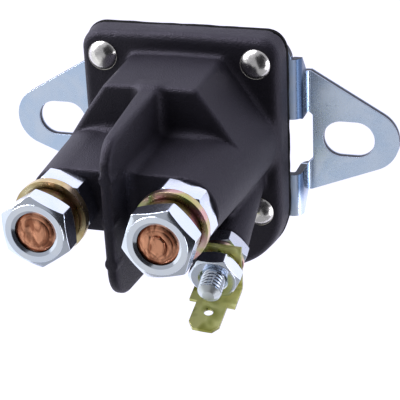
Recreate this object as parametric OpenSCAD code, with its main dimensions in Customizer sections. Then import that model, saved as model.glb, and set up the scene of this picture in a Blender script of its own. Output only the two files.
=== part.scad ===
// Starter solenoid relay with a moulded cover, a stepped steel bracket,
// two copper battery studs and one small coil stud that leans down.
// X runs along the bracket, Y across it and Z out of the mounting face.
// The origin lies midway between the two slots, on the mounting face.

/* [Mounting bracket] */
// Distance from the outer face of each step to the middle of its slot
slot_run = 8.8; // [8:0.1:11]
// Width of each slot
slot_w = 8.1; // [6.5:0.1:8.6]
// Overall length of each slot
slot_len = 11.3; // [9:0.1:13]
// Thickness of the steel sheet
sheet_t = 1.8; // [1.5:0.1:2.2]
// Height of the step from the ears up to the middle plate
step_h = 7.0; // [5:0.1:10]
// Distance from the edge of the flange to the outer face of each step
step_room = 2.4; // [2.2:0.1:4]
// Inside radius of the bends
bend_r = 0.6; // [0.3:0.1:1]
// Radius of the rounded tip of each ear
ear_tip_r = 6.9; // [6.2:0.1:8]
// Metal outside the end of each slot
ear_edge = 5.25; // [4:0.05:7]
// Height of the ear's root above the slot line
ear_root_up = 15.1; // [13:0.1:16]
// Depth of the ear's root below the slot line
ear_root_down = 12.3; // [11:0.1:13]
// Height of the wing above the slot line
wing_up = 19.7; // [18:0.1:20.5]
// Depth of the wing below the slot line
wing_down = 16.0; // [14:0.1:17]
// Distance from the flange's upper edge down to the middle plate's
plate_short = 2.0; // [1:0.1:2.4]
// Top of the lightening window above the slot line
window_up = 6.4; // [4:0.1:8]
// Bottom of the lightening window below the slot line
window_down = 6.3; // [4:0.1:8]

/* [Flange and rivets] */
// Width of the cover's flange at the gasket
flange_w = 44.0; // [43:0.1:44.4]
// Top of the flange above the slot line
flange_up = 26.4; // [26:0.1:28]
// Bottom of the flange below the slot line
flange_down = 27.6; // [26:0.1:30]
// Thickness of the flange
flange_t = 5.2; // [4:0.1:7]
// Radius of the upper corners of the flange
corner_up_r = 4.6; // [3.5:0.1:5]
// Radius of the lower corners of the flange
corner_low_r = 15.2; // [12:0.1:16]
// Draft of the flange on each side
flange_draft = 0.7; // [0.2:0.1:1]
// Radius of the rounded front edge of the flange
flange_edge_r = 1.6; // [0.8:0.1:1.8]
// Thickness of the gasket
gasket_t = 1.3; // [1:0.1:2]
// Distance between the rivets along X, as a share of the flange's width
rivet_share = 0.7568; // [0.74:0.0001:0.78]
// Distance between the rivets along Y
rivet_dy = 33.0; // [32.6:0.1:34]
// Height of the middle of the rivet square above the slot line
rivet_cy = 4.1; // [3.6:0.1:4.6]
// Radius of a rivet's shank
rivet_r = 2.0; // [1.5:0.1:2.2]
// Radius of a rivet's domed head
rivet_head_r = 3.2; // [2.8:0.1:3.3]
// Height of a rivet's domed head
rivet_head_h = 1.8; // [1:0.1:2]

/* [Moulded cover] */
// Height of the coil axis above the slot line
axis_y = 3.4; // [3:0.1:3.8]
// Height of the coil body above the flange
body_h = 18.0; // [17.6:0.1:20]
// Distance from the coil axis to the flat top wall
body_r = 18.2; // [17.8:0.1:18.4]
// Distance along X from a stud's axis in to the body's upper and lower corners
corner_in = 3.15; // [2.8:0.05:3.6]
// Radius of the body's long corners
body_corner_r = 2.0; // [1.6:0.1:2.4]
// Radius of the body's rounded front edge
body_edge_r = 1.0; // [0.4:0.1:1.2]
// Draft of the body's walls over their height
body_draft = 0.6; // [0.2:0.1:0.8]
// Height of the two towers above the flange
tower_h = 36.0; // [34:0.1:40]
// Radius of a tower at the flange
tower_root_r = 9.0; // [8.8:0.05:9.4]
// Radius of a tower at its front face
tower_tip_r = 7.0; // [6.8:0.05:7.6]
// Depth of the web below the coil axis
web_down = 5.8; // [5:0.1:6.4]
// Thickness of the barrier fin where it leaves the body
fin_root_t = 4.0; // [3.2:0.1:4.4]
// Thickness of the barrier fin at its front edge
fin_tip_t = 2.2; // [2:0.1:3.2]
// Height of the fin's front edge above the flange
fin_h = 44.4; // [43:0.1:47]
// Reach of the fin above the coil axis
fin_up = 17.7; // [17:0.1:17.9]
// Reach of the fin below the coil axis
fin_down = 17.8; // [17:0.1:18.2]
// Drop of the fin's upper front corner towards the coil axis
fin_up_in = 1.8; // [0:0.1:4]
// Draw of the fin's lower front corner towards the coil axis
fin_low_in = 0.8; // [0:0.1:3]
// Bow of the fin's front edge
fin_bow = 0.6; // [0.2:0.1:1]
// Radius of the fin's rounded edges
fin_edge_r = 0.9; // [0.4:0.1:0.9]
// Radius of the fin's upper front corner
fin_up_r = 5.0; // [2:0.1:6]
// Radius of the fin's lower front corner
fin_low_r = 6.5; // [5:0.1:9]
// Radius of the three round pads on the fin's edge
pad_r = 1.35; // [1.2:0.05:1.8]
// Distance between the pads
pad_pitch = 8.6; // [7:0.1:9]
// Least wall between the cavity and the outside
wall = 2.2; // [1.6:0.1:2.3]

/* [Battery studs] */
// Distance between the two battery studs, as a share of the flange's width
stud_share = 0.5432; // [0.535:0.0001:0.555]
// Diameter of a battery stud
stud_d = 7.94; // [7:0.01:8.2]
// Width across flats of a battery stud's head
stud_head_af = 11.0; // [10.5:0.1:11.2]
// Thickness of a battery stud's head
stud_head_t = 4.0; // [3:0.1:4.2]
// Width across flats of the nuts
nut_af = 12.7; // [12:0.1:13]
// Thickness of the base nuts
base_nut_t = 5.6; // [4.5:0.1:6]
// Thickness of the outer nuts
outer_nut_t = 4.7; // [4:0.1:6]
// Radius of the flat washers
flat_washer_r = 7.27; // [7:0.01:7.6]
// Thickness of the flat washers
flat_washer_t = 1.8; // [1:0.1:2]
// Radius of the split lock washers
lock_washer_r = 6.1; // [5.8:0.1:6.8]
// Thickness of the split lock washers
lock_washer_t = 2.0; // [1.6:0.1:2.2]
// Free height of the split lock washers
lock_washer_h = 2.9; // [2.6:0.1:3.6]
// Turn of the left and the right outer nut
outer_nut_turn = [35, 11]; // [0:1:60]
// Turn of both base nuts
base_nut_turn = -14; // [-30:1:30]

/* [Coil stud] */
// Diameter of the coil stud
coil_stud_d = 4.83; // [4:0.01:5]
// Lean of the coil stud towards the lower edge
coil_stud_lean = 18.8; // [17:0.1:19.5]
// Turn of the coil stud's lean away from straight down
coil_stud_swing = 6.7; // [4:0.1:8]
// Distance along X from the right battery stud out to the coil stud's axis at the flange face
coil_stud_out = 1.95; // [1.65:0.05:2.15]
// Place of that point below the coil axis
coil_stud_drop = 8.0; // [7.8:0.1:8.2]
// Wall of the boss between the coil stud's head and its nut seat
coil_wall = 9.5; // [8.5:0.1:10.5]
// Height of the coil stud's head above the pole plate
coil_head_up = 2.9; // [2.6:0.1:3.4]
// Radius of the boss that carries the coil stud
boss_r = 4.8; // [4.6:0.05:4.9]
// Radius of the boss at the flange
boss_root_r = 4.3; // [4.1:0.05:4.5]
// Width across flats of the coil stud's nuts
small_nut_af = 9.53; // [8.5:0.01:9.6]
// Thickness of the coil stud's nuts
small_nut_t = 3.2; // [2.8:0.1:3.4]
// Thickness of the flat washer on the coil stud
small_washer_t = 1.0; // [0.6:0.1:1.2]
// Thickness of the star washer on the coil stud
star_washer_t = 1.2; // [0.8:0.1:1.4]
// Free length of the coil stud past its outer nut
coil_stud_free = 4.6; // [4:0.1:6]

/* [Tab terminal] */
// Thickness of the tab's sheet
tab_t = 0.8; // [0.6:0.05:1]
// Width of the tab's plate
tab_plate_w = 9.6; // [9.2:0.1:10]
// Reach of the plate above the coil stud
tab_up = 5.0; // [4.9:0.1:6]
// Distance from the coil stud down to the blade's upper face
tab_drop = 6.2; // [6:0.1:7]
// Width of the blade
blade_w = 6.35; // [6:0.05:6.6]
// Distance from the plate's front face to the shoulders
shoulder_z = 5.0; // [4.6:0.1:6]
// Length of the blade past its shoulders
blade_len = 7.2; // [6:0.1:8]
// Size of the blade's end chamfers
blade_chamfer = 1.6; // [1:0.1:2]
// Diameter of the hole in the blade
blade_hole_d = 1.9; // [1.2:0.1:2.2]
// Turn of the tab about the coil stud
tab_turn = 5; // [0:1:10]
// Swing of the blade away from the stud's direction, in its own plane
tab_swing = 3.5; // [0:0.5:5]

/* [Coil and plunger] */
// Outer radius of the steel can
can_r = 15.3; // [15:0.1:15.4]
// Wall of the steel can
can_t = 1.1; // [0.8:0.1:1.3]
// Room between the pole plate and the push rod's collar at rest
pole_gap = 0.65; // [0.5:0.05:0.9]
// Thickness of the pole plate
pole_t = 1.5; // [1.2:0.1:1.6]
// Length of the core under the pole plate
core_len = 3.6; // [3.2:0.1:4]
// Radius of the plunger
plunger_r = 5.05; // [4.6:0.05:5.2]
// Gap that stays between plunger and core at full stroke
stop_gap = 0.1; // [0.05:0.05:0.4]
// Radius of the spring's bore in the plunger
spring_bore_r = 3.5; // [3.3:0.1:3.8]
// Floor of the plunger under the return spring
plunger_floor_t = 1.5; // [1.3:0.1:2.3]
// Radius of the return spring at its wire's middle
return_spring_r = 2.7; // [2.4:0.05:2.8]
// Thickness of the bumper under the plunger
bumper_t = 0.6; // [0.4:0.1:0.8]
// Stroke of the plunger
stroke = 2.3; // [2:0.05:2.35]
// Wall of the bobbin's tube
bobbin_t = 0.9; // [0.7:0.1:1.1]
// Thickness of the bobbin's flanges
bobbin_flange_t = 1.0; // [0.8:0.1:1.2]
// Radial depth of the winding
winding_depth = 6.2; // [5:0.1:6.4]
// Radius of the push rod
rod_r = 1.25; // [1:0.05:1.4]
// Radius of the contact disc
disc_r = 12.0; // [11.5:0.1:12.2]
// Thickness of the contact disc
disc_t = 1.3; // [1:0.1:1.4]
// Travel of the contact disc until it meets the stud heads
contact_gap = 1.7; // [1.5:0.05:1.75]
// Thickness of the insulating washers on the rod
insulator_t = 0.6; // [0.4:0.1:0.8]
// Radius of the insulating washers on the rod
insulator_r = 4.2; // [3.8:0.1:4.3]
// Length of the contact spring at rest
contact_spring_len = 2.6; // [2.4:0.1:2.8]
// Wire of the contact spring
contact_wire = 0.45; // [0.3:0.05:0.5]
// Wire of the return spring
return_wire = 0.7; // [0.5:0.05:0.8]
// Radius of the contact spring at its wire's middle
contact_spring_r = 2.2; // [2:0.05:2.4]
// Thickness of the retaining clip
clip_t = 0.6; // [0.4:0.1:0.7]
// Radius of the two coil leads
lead_r = 0.4; // [0.3:0.05:0.5]

/* [Hidden] */

// Overrun of every cut past the face that it opens
over = 0.5;
// Clearance of a part that slides or turns on another
slide_clear = 0.15;
// Clearance of a fastener's shank or thread in its hole
fit_clear = 0.05;
// Clearance of a fixed piece in its pocket
seat_clear = 0.3;
// Thickness of the slices that a rounded shape is drawn through
slice = 0.02;
// Facets of a curve inside a rounded shape
soft_fn = 32;
// Facets of a true curve
true_fn = 64;

// Levels along Z, from the mounting face out
plate_z = step_h;
gasket_z = plate_z + sheet_t;
flange_z = gasket_z + gasket_t;
face_z = flange_z + flange_t;
body_z = face_z + body_h;
tower_z = face_z + tower_h;
base_nut_top = tower_z + base_nut_t;
flat_washer_top = base_nut_top + flat_washer_t;
outer_nut_z = flat_washer_top + lock_washer_h;
outer_nut_top = outer_nut_z + outer_nut_t;
stud_tip_sink = 0.15;
stud_top = outer_nut_top - stud_tip_sink;
stud_chamfer = 0.6;

// Levels of the works inside
collar_t = 0.7;
ceiling_z = body_z - wall;
head_z = ceiling_z - seat_clear + fit_clear;
head_top = head_z + stud_head_t;
disc_top = head_z - contact_gap;
disc_z = disc_top - disc_t;
spring_seat_z = disc_z - insulator_t - contact_spring_len;
pole_top = spring_seat_z - collar_t - pole_gap;
pole_z = pole_top - pole_t;
can_h = pole_z - gasket_z;
core_z = pole_z - core_len;
can_floor = gasket_z + can_t;
plunger_z = can_floor + bumper_t;
plunger_top = core_z - stroke - stop_gap;
plunger_len = plunger_top - plunger_z;
spring_bore_depth = plunger_len - plunger_floor_t;
clip_z = disc_top + insulator_t;
rod_tail = 0.8;
rod_top = clip_z + clip_t + rod_tail;
rod_pocket_z = rod_top + stroke + 2 * seat_clear;
rod_pocket_r = insulator_r + seat_clear;
spring_floor = plunger_top - spring_bore_depth;
bobbin_bore_r = plunger_r + slide_clear;
bobbin_tube_r = bobbin_bore_r + bobbin_t;
bobbin_z = can_floor + slide_clear;
bobbin_top = pole_z - slide_clear;
winding_r = bobbin_tube_r + winding_depth;
bobbin_flange_r = can_r - can_t - seat_clear;
cavity_r = can_r + seat_clear;
ledge = 1.2;
chamber_r = can_r - ledge;

// Sizes of the coil stud's stack, and the places along the stud
coil_head_r = 3.0;
coil_head_t = 2.0;
coil_room = 2.0;
coil_chamfer = 1.1;
coil_head = (pole_top + coil_head_up - face_z) / cos(coil_stud_lean);
coil_seat = coil_head + coil_wall;
coil_nut_turn = [5, 1];
// Slope of a nut's front cone, and how far the flat ring inside it reaches as a share of the flats
nut_cone = 26;
wide_ring = 0.96;
narrow_ring = 0.91;
small_washer_r = 5.0;
star_washer_r = 4.4;
tab_bend_r = 0.6;
blade_hole_in = 2.4;
tab_z = coil_seat + small_nut_t + small_washer_t;
coil_nut_top = tab_z + tab_t + star_washer_t + small_nut_t;
bush_r = rod_r + slide_clear + 0.7;

// Places of what repeats
sides = [-1, 1];
stud_dx = stud_share * flange_w;
rivet_dx = rivet_share * flange_w;
stud_x = stud_dx / 2;
crown_half = stud_x - corner_in;
coil_stud_x = stud_x + coil_stud_out;
step_x = flange_w / 2 + step_room;
slot_x = step_x + slot_run;
ear_tip_x = slot_x + slot_len / 2 + ear_edge - ear_tip_r;

// Slope of a tower's wall and its radius at a height above the flange
tower_slope = (tower_root_r - tower_tip_r) / tower_h;
function tower_r(h) = tower_root_r - tower_slope * h;
// Radius of a long corner of the body at a height above the flange
function long_corner_r(h) = body_corner_r - body_draft * h / body_h;
// Fin's half thickness at a height above the flange
function fin_half(h) =
    (fin_root_t + (fin_tip_t - fin_root_t) * (h - body_h) / (fin_h - body_h)) / 2;
// Middles of the fin's upper and lower front corners
fin_up_middle = [fin_up - fin_up_in - fin_up_r, fin_h - fin_bow - fin_up_r];
fin_low_middle = [fin_low_r + fin_low_in - fin_down, fin_h - fin_bow / 2 - fin_low_r];
// Direction of the coil stud, and the point on its axis at a distance out
coil_dir = [
    sin(coil_stud_lean) * sin(coil_stud_swing),
    -sin(coil_stud_lean) * cos(coil_stud_swing),
    cos(coil_stud_lean)
];
function coil_axis(t) = [coil_stud_x, axis_y - coil_stud_drop, face_z] + t * coil_dir;

// Points of the coil lead, from the winding to the head of the coil stud
lead_way = coil_axis(coil_head) - [0, axis_y, 0];
lead_flat = [lead_way[0], lead_way[1]] / norm([lead_way[0], lead_way[1]]);
lead_run = winding_r + lead_r + fit_clear;
lead_xy = [0, axis_y] + lead_run * lead_flat;
lead_low = [lead_xy[0], lead_xy[1], (bobbin_z + bobbin_top) / 2];
lead_up = [lead_xy[0], lead_xy[1], pole_top + 2 * lead_r];
lead_end = coil_axis(coil_head - coil_head_t - fit_clear);
lead_turn = coil_axis(coil_head - coil_head_t - 2 * lead_r) - lead_r * [lead_flat[0], lead_flat[1], 0];

// Points of the earth lead, from the winding to the wall of the can
earth_turn = 140;
earth_way = [cos(earth_turn), sin(earth_turn)];
earth_xy = [0, axis_y] + lead_run * earth_way;
earth_z = bobbin_z + bobbin_flange_t + lead_r + fit_clear;
earth_start = [earth_xy[0], earth_xy[1], (bobbin_z + bobbin_top) / 2];
earth_bend = [earth_xy[0], earth_xy[1], earth_z];
earth_far = [0, axis_y] + (can_r - can_t - 2 * fit_clear) * earth_way;
earth_end = [earth_far[0], earth_far[1], earth_z];

// Copies of a piece at the left and the right stud
module at_studs() {
    for (s = sides) translate([s * stud_x, axis_y, 0]) children();
}

// Copies of a piece at the four rivets
module at_rivets() {
    for (sx = sides, sy = sides)
        translate([sx * rivet_dx / 2, rivet_cy + sy * rivet_dy / 2, 0]) children();
}

// Frame of the coil stud: its Z lies along the leaning stud
module at_coil_stud() {
    translate([coil_stud_x, axis_y - coil_stud_drop, face_z])
        rotate([0, 0, coil_stud_swing])
            rotate([coil_stud_lean, 0, 0])
                rotate([0, 0, -coil_stud_swing])
                    children();
}

// Flat ring
module ring(r, hole_r, t) {
    difference() {
        cylinder(r = r, h = t, $fn = true_fn);
        translate([0, 0, -over]) cylinder(r = hole_r, h = t + 2 * over, $fn = true_fn);
    }
}

// Hexagon nut: its front is a cone from the flat ring out to the corners, its back a short chamfer
module hex_nut(af, t, hole_r, ring_share) {
    corner_r = af / sqrt(3);
    ring_r = ring_share * af / 2;
    back = (corner_r - af / 2) * tan(30);
    front = (corner_r - ring_r) * tan(nut_cone);
    mouth = 0.5;
    difference() {
        intersection() {
            cylinder(r = corner_r, h = t, $fn = 6);
            rotate_extrude($fn = true_fn)
                polygon([
                    [0, 0], [af / 2, 0], [corner_r, back],
                    [corner_r, t - front], [ring_r, t], [0, t]
                ]);
        }
        translate([0, 0, -over]) cylinder(r = hole_r, h = t + 2 * over, $fn = true_fn);
        translate([0, 0, t - mouth])
            cylinder(r1 = hole_r, r2 = hole_r + 2 * mouth, h = 2 * mouth, $fn = true_fn);
    }
}

// Flat sheet of the flange's outline, wider or narrower by a margin
module flange_sheet(z, t, grow) {
    half = flange_w / 2 + grow;
    up = flange_up + grow;
    low = -flange_down - grow;
    ru = corner_up_r + grow;
    rl = corner_low_r + grow;
    translate([0, 0, z])
        union() {
            translate([ru - half, low + rl, 0]) cube([2 * (half - ru), up - low - rl, t]);
            translate([-half, low + rl, 0]) cube([2 * half, up - low - rl - ru, t]);
            translate([rl - half, low, 0]) cube([2 * (half - rl), up - low, t]);
            for (s = sides) {
                translate([s * (half - ru), up - ru, 0]) cylinder(r = ru, h = t, $fn = true_fn);
                translate([s * (half - rl), low + rl, 0]) cylinder(r = rl, h = t, $fn = true_fn);
            }
        }
}

// One slice of the flange, drawn in by an inset
module flange_slice(z, inset) {
    half = flange_w / 2 - inset;
    up = flange_up - inset / 2;
    low = -flange_down + inset;
    translate([0, 0, z])
        linear_extrude(slice)
            for (s = sides) {
                translate([s * (half - corner_up_r), up - corner_up_r])
                    circle(r = corner_up_r, $fn = soft_fn);
                translate([s * (half - corner_low_r), low + corner_low_r])
                    circle(r = corner_low_r, $fn = 2 * soft_fn);
            }
}

// Flange with drafted walls and a rounded front edge
module flange() {
    draft_to = face_z - flange_edge_r;
    hull() {
        flange_slice(flange_z, 0);
        for (a = [0:22.5:90])
            flange_slice(
                draft_to + (flange_edge_r - slice) * sin(a),
                flange_draft + flange_edge_r * (1 - cos(a))
            );
    }
}

// One slice of the body, with its long corners drawn in by an inset
module body_slice(h, inset) {
    corner_y = body_r - body_corner_r;
    translate([0, axis_y, face_z + h])
        linear_extrude(slice)
            for (s = sides) {
                translate([s * stud_x, 0]) circle(r = tower_r(h), $fn = 2 * soft_fn);
                for (t = sides)
                    translate([s * crown_half, t * corner_y])
                        circle(r = long_corner_r(h) - inset, $fn = soft_fn);
            }
}

// Six sided coil body with drafted walls and a rounded front edge
module coil_body() {
    straight = body_h - body_edge_r;
    hull() {
        body_slice(-over, 0);
        for (a = [0:22.5:90])
            body_slice(
                straight + (body_edge_r - slice) * sin(a),
                body_edge_r * (1 - cos(a))
            );
    }
}

// Tower round one battery stud, a little proud of the body's side
module tower() {
    proud = 0.06;
    start = body_h - over;
    translate([0, 0, face_z + start])
        cylinder(
            r1 = tower_r(start) + proud, r2 = tower_tip_r + proud,
            h = tower_h - start, $fn = true_fn
        );
}

// Web that joins the two towers
module web() {
    start = body_h - over;
    sink = 0.05;
    translate([-stud_x, axis_y, face_z])
        rotate([90, 0, 90])
            linear_extrude(stud_dx)
                polygon([
                    [-web_down, start], [tower_r(start) - sink, start],
                    [tower_tip_r - sink, tower_h], [-web_down, tower_h]
                ]);
}

// Outline of the fin as distance up and height, drawn in by an inset
function fin_outline(inset) = concat(
    [[fin_up - inset, body_h - body_edge_r]],
    [for (a = [5:17:90]) fin_up_middle + (fin_up_r - inset) * [cos(a), sin(a)]],
    [[0, fin_h - inset]],
    [for (a = [92:14.5:179]) fin_low_middle + (fin_low_r - inset) * [cos(a), sin(a)]],
    [[inset - fin_down, body_h - body_edge_r]]
);

// Barrier fin between the studs, with rounded edges and a thicker root
module fin() {
    angles = [0:30:90];
    levels = [for (s = sides, a = angles) [s, s < 0 ? 90 - a : a]];
    n = len(fin_outline(0));
    points = [
        for (l = levels, p = fin_outline(fin_edge_r * (1 - cos(l[1]))))
            [
                l[0] * (fin_half(p[1]) - fin_edge_r * (1 - sin(l[1]))),
                axis_y + p[0],
                face_z + p[1]
            ]
    ];
    polyhedron(points, tube_faces(len(levels), n));
}

// Three round pads on the fin's front edge
module fin_pads() {
    pad_h = 3;
    pad_proud = 0.1;
    for (k = [-1:1])
        translate([0, axis_y + k * pad_pitch, face_z + fin_h - fin_bow / 2 - pad_h])
            cylinder(r = pad_r, h = pad_h + pad_proud, $fn = true_fn);
}

// Slanted boss of the coil stud
module boss() {
    at_coil_stud() cylinder(r1 = boss_root_r, r2 = boss_r, h = coil_seat, $fn = true_fn);
}

// Hollow for the can, the contact chamber and the pockets of the stud heads
module cover_cavity() {
    translate([0, axis_y, flange_z - over])
        cylinder(r = cavity_r, h = pole_top - flange_z + over, $fn = true_fn);
    translate([0, axis_y, pole_top - over])
        cylinder(r = chamber_r, h = ceiling_z - pole_top + over, $fn = true_fn);
    translate([0, axis_y, ceiling_z - over])
        cylinder(r = rod_pocket_r, h = rod_pocket_z - ceiling_z + over, $fn = true_fn);
    at_studs() {
        translate([0, 0, ceiling_z - over])
            cylinder(
                r = (stud_head_af + seat_clear) / sqrt(3),
                h = head_top - ceiling_z + over, $fn = 6
            );
        cylinder(r = stud_d / 2 + 2 * fit_clear, h = tower_z + over, $fn = true_fn);
    }
    at_coil_stud() {
        cylinder(r = coil_stud_d / 2 + 2 * fit_clear, h = coil_seat + over, $fn = true_fn);
        translate([0, 0, coil_head - coil_head_t - coil_room])
            cylinder(r = coil_head_r + seat_clear, h = coil_head_t + coil_room, $fn = true_fn);
    }
    between(lead_up - 2 * lead_r * [lead_flat[0], lead_flat[1], 0], lead_turn, 3 * lead_r);
}

// Moulded cover: flange, coil body, towers, web, fin and boss in one piece
module cover() {
    color([0.13, 0.13, 0.15])
        difference() {
            union() {
                flange();
                coil_body();
                at_studs() tower();
                web();
                fin();
                fin_pads();
                boss();
            }
            cover_cavity();
            at_rivets()
                translate([0, 0, flange_z - over])
                    cylinder(r = rivet_r + 2 * fit_clear, h = flange_t + 2 * over, $fn = true_fn);
        }
}

// Flat gasket between the flange and the bracket
module gasket() {
    grow = 0.3;
    color([0.08, 0.08, 0.09])
        difference() {
            flange_sheet(gasket_z, gasket_t, grow);
            translate([0, axis_y, gasket_z - over])
                cylinder(r = cavity_r, h = gasket_t + 2 * over, $fn = true_fn);
            at_rivets()
                translate([0, 0, gasket_z - over])
                    cylinder(r = rivet_r + 2 * fit_clear, h = gasket_t + 2 * over, $fn = true_fn);
        }
}

// Quarter of a bend in the sheet, seen from the end of the bracket
module bend_quarter(turn) {
    outer = bend_r + sheet_t;
    rotate(turn)
        difference() {
            intersection() {
                circle(r = outer, $fn = true_fn);
                square(outer);
            }
            circle(r = bend_r, $fn = true_fn);
        }
}

// Section of the bracket from its middle out to one end
module step_section() {
    wall_in = step_x - sheet_t;
    upper_x = wall_in - bend_r;
    lower_x = step_x + bend_r;
    upper_y = plate_z - bend_r;
    lower_y = sheet_t + bend_r;
    reach = ear_tip_x + ear_tip_r;
    translate([-over, plate_z]) square([upper_x + over, sheet_t]);
    translate([upper_x, upper_y]) bend_quarter(0);
    translate([wall_in, lower_y]) square([sheet_t, upper_y - lower_y]);
    translate([lower_x, lower_y]) bend_quarter(180);
    translate([lower_x, 0]) square([reach - lower_x + over, sheet_t]);
}

// Plan of one ear, tapering from its root to its round tip
module ear_plan() {
    root_x = step_x + bend_r;
    reach = ear_tip_x - root_x;
    // Points where a straight edge from the root meets the round tip
    function touch(root_y) =
        let (
            way = norm([reach, root_y]),
            run = sqrt(way * way - ear_tip_r * ear_tip_r),
            turn = atan2(-root_y, reach) + sign(root_y) * asin(ear_tip_r / way)
        )
        [root_x + run * cos(turn), root_y + run * sin(turn)];
    polygon([
        [root_x - over, ear_root_up], [root_x, ear_root_up], touch(ear_root_up),
        [ear_tip_x, 0], touch(-ear_root_down), [root_x, -ear_root_down],
        [root_x - over, -ear_root_down]
    ]);
    translate([ear_tip_x, 0]) circle(r = ear_tip_r, $fn = true_fn);
}

// Space that the cut blank fills: middle plate, one step and one ear
module blank_half() {
    upper_x = step_x - sheet_t - bend_r;
    lower_x = step_x + bend_r;
    high = plate_z + sheet_t;
    trim = 0.4;
    grow = 0.5;
    deep = high + 2 * over;
    intersection() {
        union() {
            intersection() {
                flange_sheet(-over, deep, -trim);
                translate([-flange_w, -2 * flange_w, -over]) cube([2 * flange_w, 2 * flange_w, deep]);
            }
            intersection() {
                translate([0, -plate_short - grow, 0]) flange_sheet(-over, deep, grow);
                translate([-flange_w, -wing_down, -over]) cube([2 * flange_w, flange_w, deep]);
            }
            translate([0, -wing_down, -over]) cube([upper_x, wing_up + wing_down, deep]);
        }
        translate([-over, -flange_w, -over]) cube([flange_w / 2 + grow + over, 2 * flange_w, deep]);
    }
    translate([upper_x, 0, 0])
        rotate([90, 0, 90])
            linear_extrude(lower_x - upper_x)
                polygon([
                    [-wing_down, high + over], [wing_up, high + over],
                    [wing_up, plate_z - bend_r], [ear_root_up, sheet_t + bend_r],
                    [ear_root_up, -over], [-ear_root_down, -over],
                    [-ear_root_down, sheet_t + bend_r], [-wing_down, plate_z - bend_r]
                ]);
    translate([0, 0, -over])
        linear_extrude(sheet_t + bend_r + over)
            ear_plan();
}

// Window that lightens a step, with its outer corners cut off
module step_window() {
    inner_x = step_x - sheet_t - 2 * bend_r;
    outer_x = step_x + 1.5 * bend_r;
    nick = 1.3;
    translate([0, 0, -over])
        linear_extrude(plate_z + sheet_t + 2 * over)
            polygon([
                [inner_x, -window_down], [outer_x - nick, -window_down],
                [outer_x, nick - window_down], [outer_x, window_up - nick],
                [outer_x - nick, window_up], [inner_x, window_up]
            ]);
}

// Slot of one ear
module ear_slot() {
    half = (slot_len - slot_w) / 2;
    translate([slot_x, 0, -over]) {
        for (s = sides)
            translate([s * half, 0, 0])
                cylinder(r = slot_w / 2, h = sheet_t + 2 * over, $fn = true_fn);
        translate([-half, -slot_w / 2, 0]) cube([2 * half, slot_w, sheet_t + 2 * over]);
    }
}

// Half of the bracket with its slot and window
module bracket_half() {
    difference() {
        intersection() {
            rotate([90, 0, 0])
                linear_extrude(4 * flange_w, center = true)
                    step_section();
            blank_half();
        }
        step_window();
        ear_slot();
    }
}

// Stepped steel bracket: middle plate, two steps and two slotted ears
module bracket() {
    color([0.72, 0.78, 0.88])
        difference() {
            union() {
                bracket_half();
                mirror([1, 0, 0]) bracket_half();
            }
            at_rivets()
                translate([0, 0, plate_z - over])
                    cylinder(r = rivet_r + 2 * fit_clear, h = sheet_t + 2 * over, $fn = true_fn);
        }
}

// Domed rivet with its upset tail
module rivet() {
    dome_r = (rivet_head_r * rivet_head_r + rivet_head_h * rivet_head_h) / (2 * rivet_head_h);
    tail_h = 1.2;
    tail_r = rivet_r + 1.0;
    intersection() {
        translate([0, 0, face_z + rivet_head_h - dome_r]) sphere(r = dome_r, $fn = true_fn);
        translate([0, 0, face_z]) cylinder(r = rivet_head_r, h = 2 * rivet_head_h, $fn = true_fn);
    }
    translate([0, 0, plate_z - tail_h])
        cylinder(r = rivet_r, h = face_z - plate_z + tail_h, $fn = true_fn);
    translate([0, 0, plate_z - tail_h])
        cylinder(r1 = rivet_r, r2 = tail_r, h = tail_h, $fn = true_fn);
}

module rivets() {
    color([0.75, 0.74, 0.72]) at_rivets() rivet();
}

// Copper stud with a hexagon head and a chamfered end
module main_stud() {
    r = stud_d / 2;
    translate([0, 0, head_z]) cylinder(r = stud_head_af / sqrt(3), h = stud_head_t, $fn = 6);
    translate([0, 0, head_z + stud_head_t / 2])
        cylinder(r = r, h = stud_top - stud_chamfer - head_z - stud_head_t / 2, $fn = true_fn);
    translate([0, 0, stud_top - stud_chamfer])
        cylinder(r1 = r, r2 = r - stud_chamfer, h = stud_chamfer, $fn = true_fn);
}

module main_studs() {
    color([0.72, 0.42, 0.28]) at_studs() main_stud();
}

module base_nuts() {
    color([0.80, 0.83, 0.90])
        at_studs()
            translate([0, 0, tower_z])
                rotate(base_nut_turn)
                    hex_nut(nut_af, base_nut_t, stud_d / 2 + fit_clear, wide_ring);
}

module flat_washers() {
    color([0.74, 0.68, 0.36])
        at_studs()
            translate([0, 0, base_nut_top])
                ring(flat_washer_r, stud_d / 2 + 4 * fit_clear, flat_washer_t);
}

// Faces of a tube through rings of points, closed at both ends
function tube_faces(rings, n) = concat(
    [for (j = [1:n - 2]) [0, j, j + 1]],
    [for (i = [0:rings - 2], j = [0:n - 1]) [i * n + j, (i + 1) * n + j, (i + 1) * n + (j + 1) % n]],
    [for (i = [0:rings - 2], j = [0:n - 1]) [i * n + j, (i + 1) * n + (j + 1) % n, i * n + (j + 1) % n]],
    [for (j = [1:n - 2]) [(rings - 1) * n, (rings - 1) * n + j + 1, (rings - 1) * n + j]]
);

// Split lock washer: a square section that climbs along one open turn
module lock_washer() {
    steps = 36;
    mouth = 9;
    bore = stud_d / 2 + 4 * fit_clear;
    climb = lock_washer_h - lock_washer_t;
    section = [[bore, 0], [lock_washer_r, 0], [lock_washer_r, lock_washer_t], [bore, lock_washer_t]];
    points = [
        for (i = [0:steps])
            let (a = mouth + (360 - 2 * mouth) * i / steps)
            for (p = section) [p[0] * cos(a), p[0] * sin(a), p[1] + climb * i / steps]
    ];
    polyhedron(points, tube_faces(steps + 1, len(section)));
}

module lock_washers() {
    split_turn = 225;
    color([0.66, 0.60, 0.30])
        at_studs()
            translate([0, 0, flat_washer_top])
                rotate(split_turn)
                    lock_washer();
}

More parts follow.
